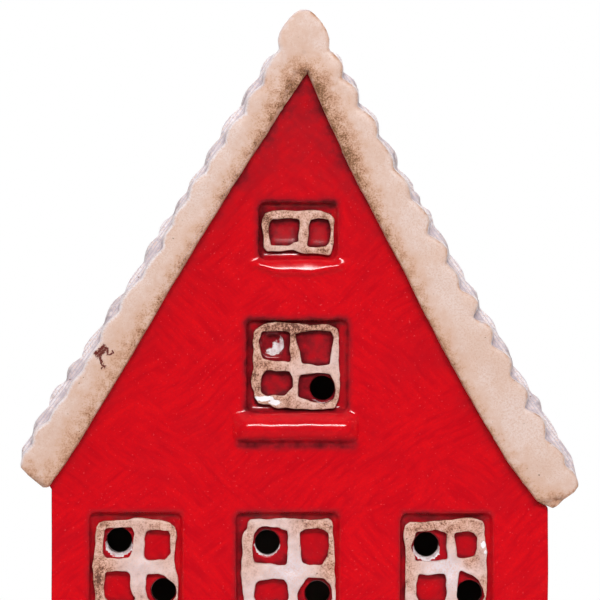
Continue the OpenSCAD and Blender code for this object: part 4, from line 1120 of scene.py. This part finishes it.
house_body()
roof()
for window in WINDOWS:
    lattice(window)
for name, node, slot, voxel_mm in (
        ("door_surround", "door_frame", "cream_glaze", 0.3),
        ("door_leaf", "front_door", "door_glaze", 0.3),
        ("door_knob_glazed", "door_knob", "cream_glaze", 0.15),
        ("doorstep_glazed", "doorstep", "cream_glaze", 0.35)):
    glazed_trim(name, node, slot, voxel_mm * MM)
for node, slot, body, edge_mm in (
        ("tealight_cup", "cup_plastic", "tealight", 0.25),
        ("tealight_base", "base_plastic", "tealight", 0.15),
        ("base_screws", "steel", "tealight", 0.08),
        ("led_holder", "base_plastic", "tealight", 0.12),
        ("led", "led_epoxy", "tealight", 0.08),
        ("flame_tip", "flame_plastic", "tealight", 0.15),
        ("contact_plus", "contact_brass", "tealight", 0.05),
        ("contact_minus", "contact_brass", "tealight", 0.05),
        ("switch_blade", "contact_brass", "tealight", 0.05),
        ("switch_slider", "slider_plastic", "switch", 0.15),
        ("battery_cover", "base_plastic", "battery_door", 0.15),
        ("coin_cell", "steel", "battery_door", 0.25),
        ("floor_slab", "bare_clay", "house", 0.4),
        ("felt_pads", "felt", "house", 0.25)):
    moulded_copy(node, slot, body, edge_mm * MM)


# Lights, floor and camera

FLOOR_SIZE = 1.1
LAMP_TARGET = Vector((0, 0, 0.12))


def paper():
    # Matt white paper under the object, which fades into the white backdrop around it.
    material, add = new_material("white_paper_sweep")
    sheet = add("BsdfPrincipled", Base_Color="#F7F7F7", Roughness=0.9, Specular_IOR_Level=0.1)
    away = add("VectorMath LENGTH", add("TexCoord", out="Object"))
    fade = add("MapRange", away, 0.18, 0.48, 0.0, 1.0, interpolation_type="SMOOTHSTEP")
    add("OutputMaterial", add("MixShader", fade, sheet, add("BsdfTransparent")))
    return material


def add_stage():
    """A paper floor, which stands for the table and isn't part of the object."""
    bpy.ops.mesh.primitive_plane_add(size=FLOOR_SIZE, location=(0, 0, 0))
    floor = bpy.context.active_object
    floor.name = "floor"
    floor.data.materials.append(paper())
    floor.visible_glossy = False


def add_lamp(name, place, size, watts, mirrored=False):
    """A softbox aimed at the house, which glossy faces mirror or don't."""
    lamp = bpy.data.lights.new(name, "AREA")
    lamp.shape = "RECTANGLE"
    lamp.size, lamp.size_y = size
    lamp.energy = watts
    holder = new_object(name, lamp)
    holder.visible_glossy = mirrored
    holder.location = place
    holder.rotation_euler = (LAMP_TARGET - Vector(place)).to_track_quat("-Z", "Y").to_euler()


def add_world():
    """White behind the object and softly lit all round, with a dim room behind the camera."""
    world = bpy.data.worlds.new("studio")
    bpy.context.scene.world = world
    world.use_nodes = True
    world.node_tree.nodes.clear()
    add = partial(add_node, world.node_tree)
    toward = add("SeparateXYZ", add("TexCoord", out="Generated")).node.outputs
    behind = add("Math ADD", toward["Y"], add("Math MULTIPLY", toward["Z"], 0.6))
    room = add("MapRange", behind, -0.1, 0.75, 0.015, 0.3, interpolation_type="SMOOTHSTEP")
    path = add("LightPath").node.outputs
    seen = add("Math MAXIMUM", path["Is Camera Ray"], path["Is Transmission Ray"])
    soft = add("Background", "#FFFFFF", 0.20)
    reflected = add("Background", "#FFFFFF", room)
    glossy = add("MixShader", path["Is Glossy Ray"], soft, reflected)
    add("OutputWorld", add("MixShader", seen, glossy, add("Background", "#FFFFFF", 1.0)))


add_stage()
add_world()
add_lamp("overhead_strip", (0.05, -0.75, 0.56), (0.45, 0.14), 5.0, True)
add_lamp("top_softbox", (-0.1, -0.1, 0.85), (0.6, 0.6), 2.0)
add_lamp("left_softbox", (-0.85, -0.28, 0.38), (0.5, 0.6), 1.5)
add_lamp("right_softbox", (0.85, -0.25, 0.38), (0.5, 0.6), 1.3)
add_lamp("back_softbox", (0.1, 0.85, 0.5), (0.8, 0.5), 3.2, True)

# The photograph is 600 pixels wide at 0.232 mm a pixel, seen level from in front
PIXEL = 0.232 * MM
PHOTO_WIDTH = 600
CAMERA_AWAY = 0.65
SENSOR_WIDTH = 36
RIDGE_ROW = 290
camera_data = bpy.data.cameras.new("camera")
camera_data.sensor_width = SENSOR_WIDTH
camera_data.lens = SENSOR_WIDTH * CAMERA_AWAY / (PIXEL * PHOTO_WIDTH)
camera = new_object("camera", camera_data)
camera.location = (0.1 * MM, front_y - CAMERA_AWAY, ridge_z - RIDGE_ROW * PIXEL)
camera.rotation_euler = (math.radians(90), 0, 0)
bpy.context.scene.camera = camera
bpy.context.scene.view_settings.view_transform = "Standard"
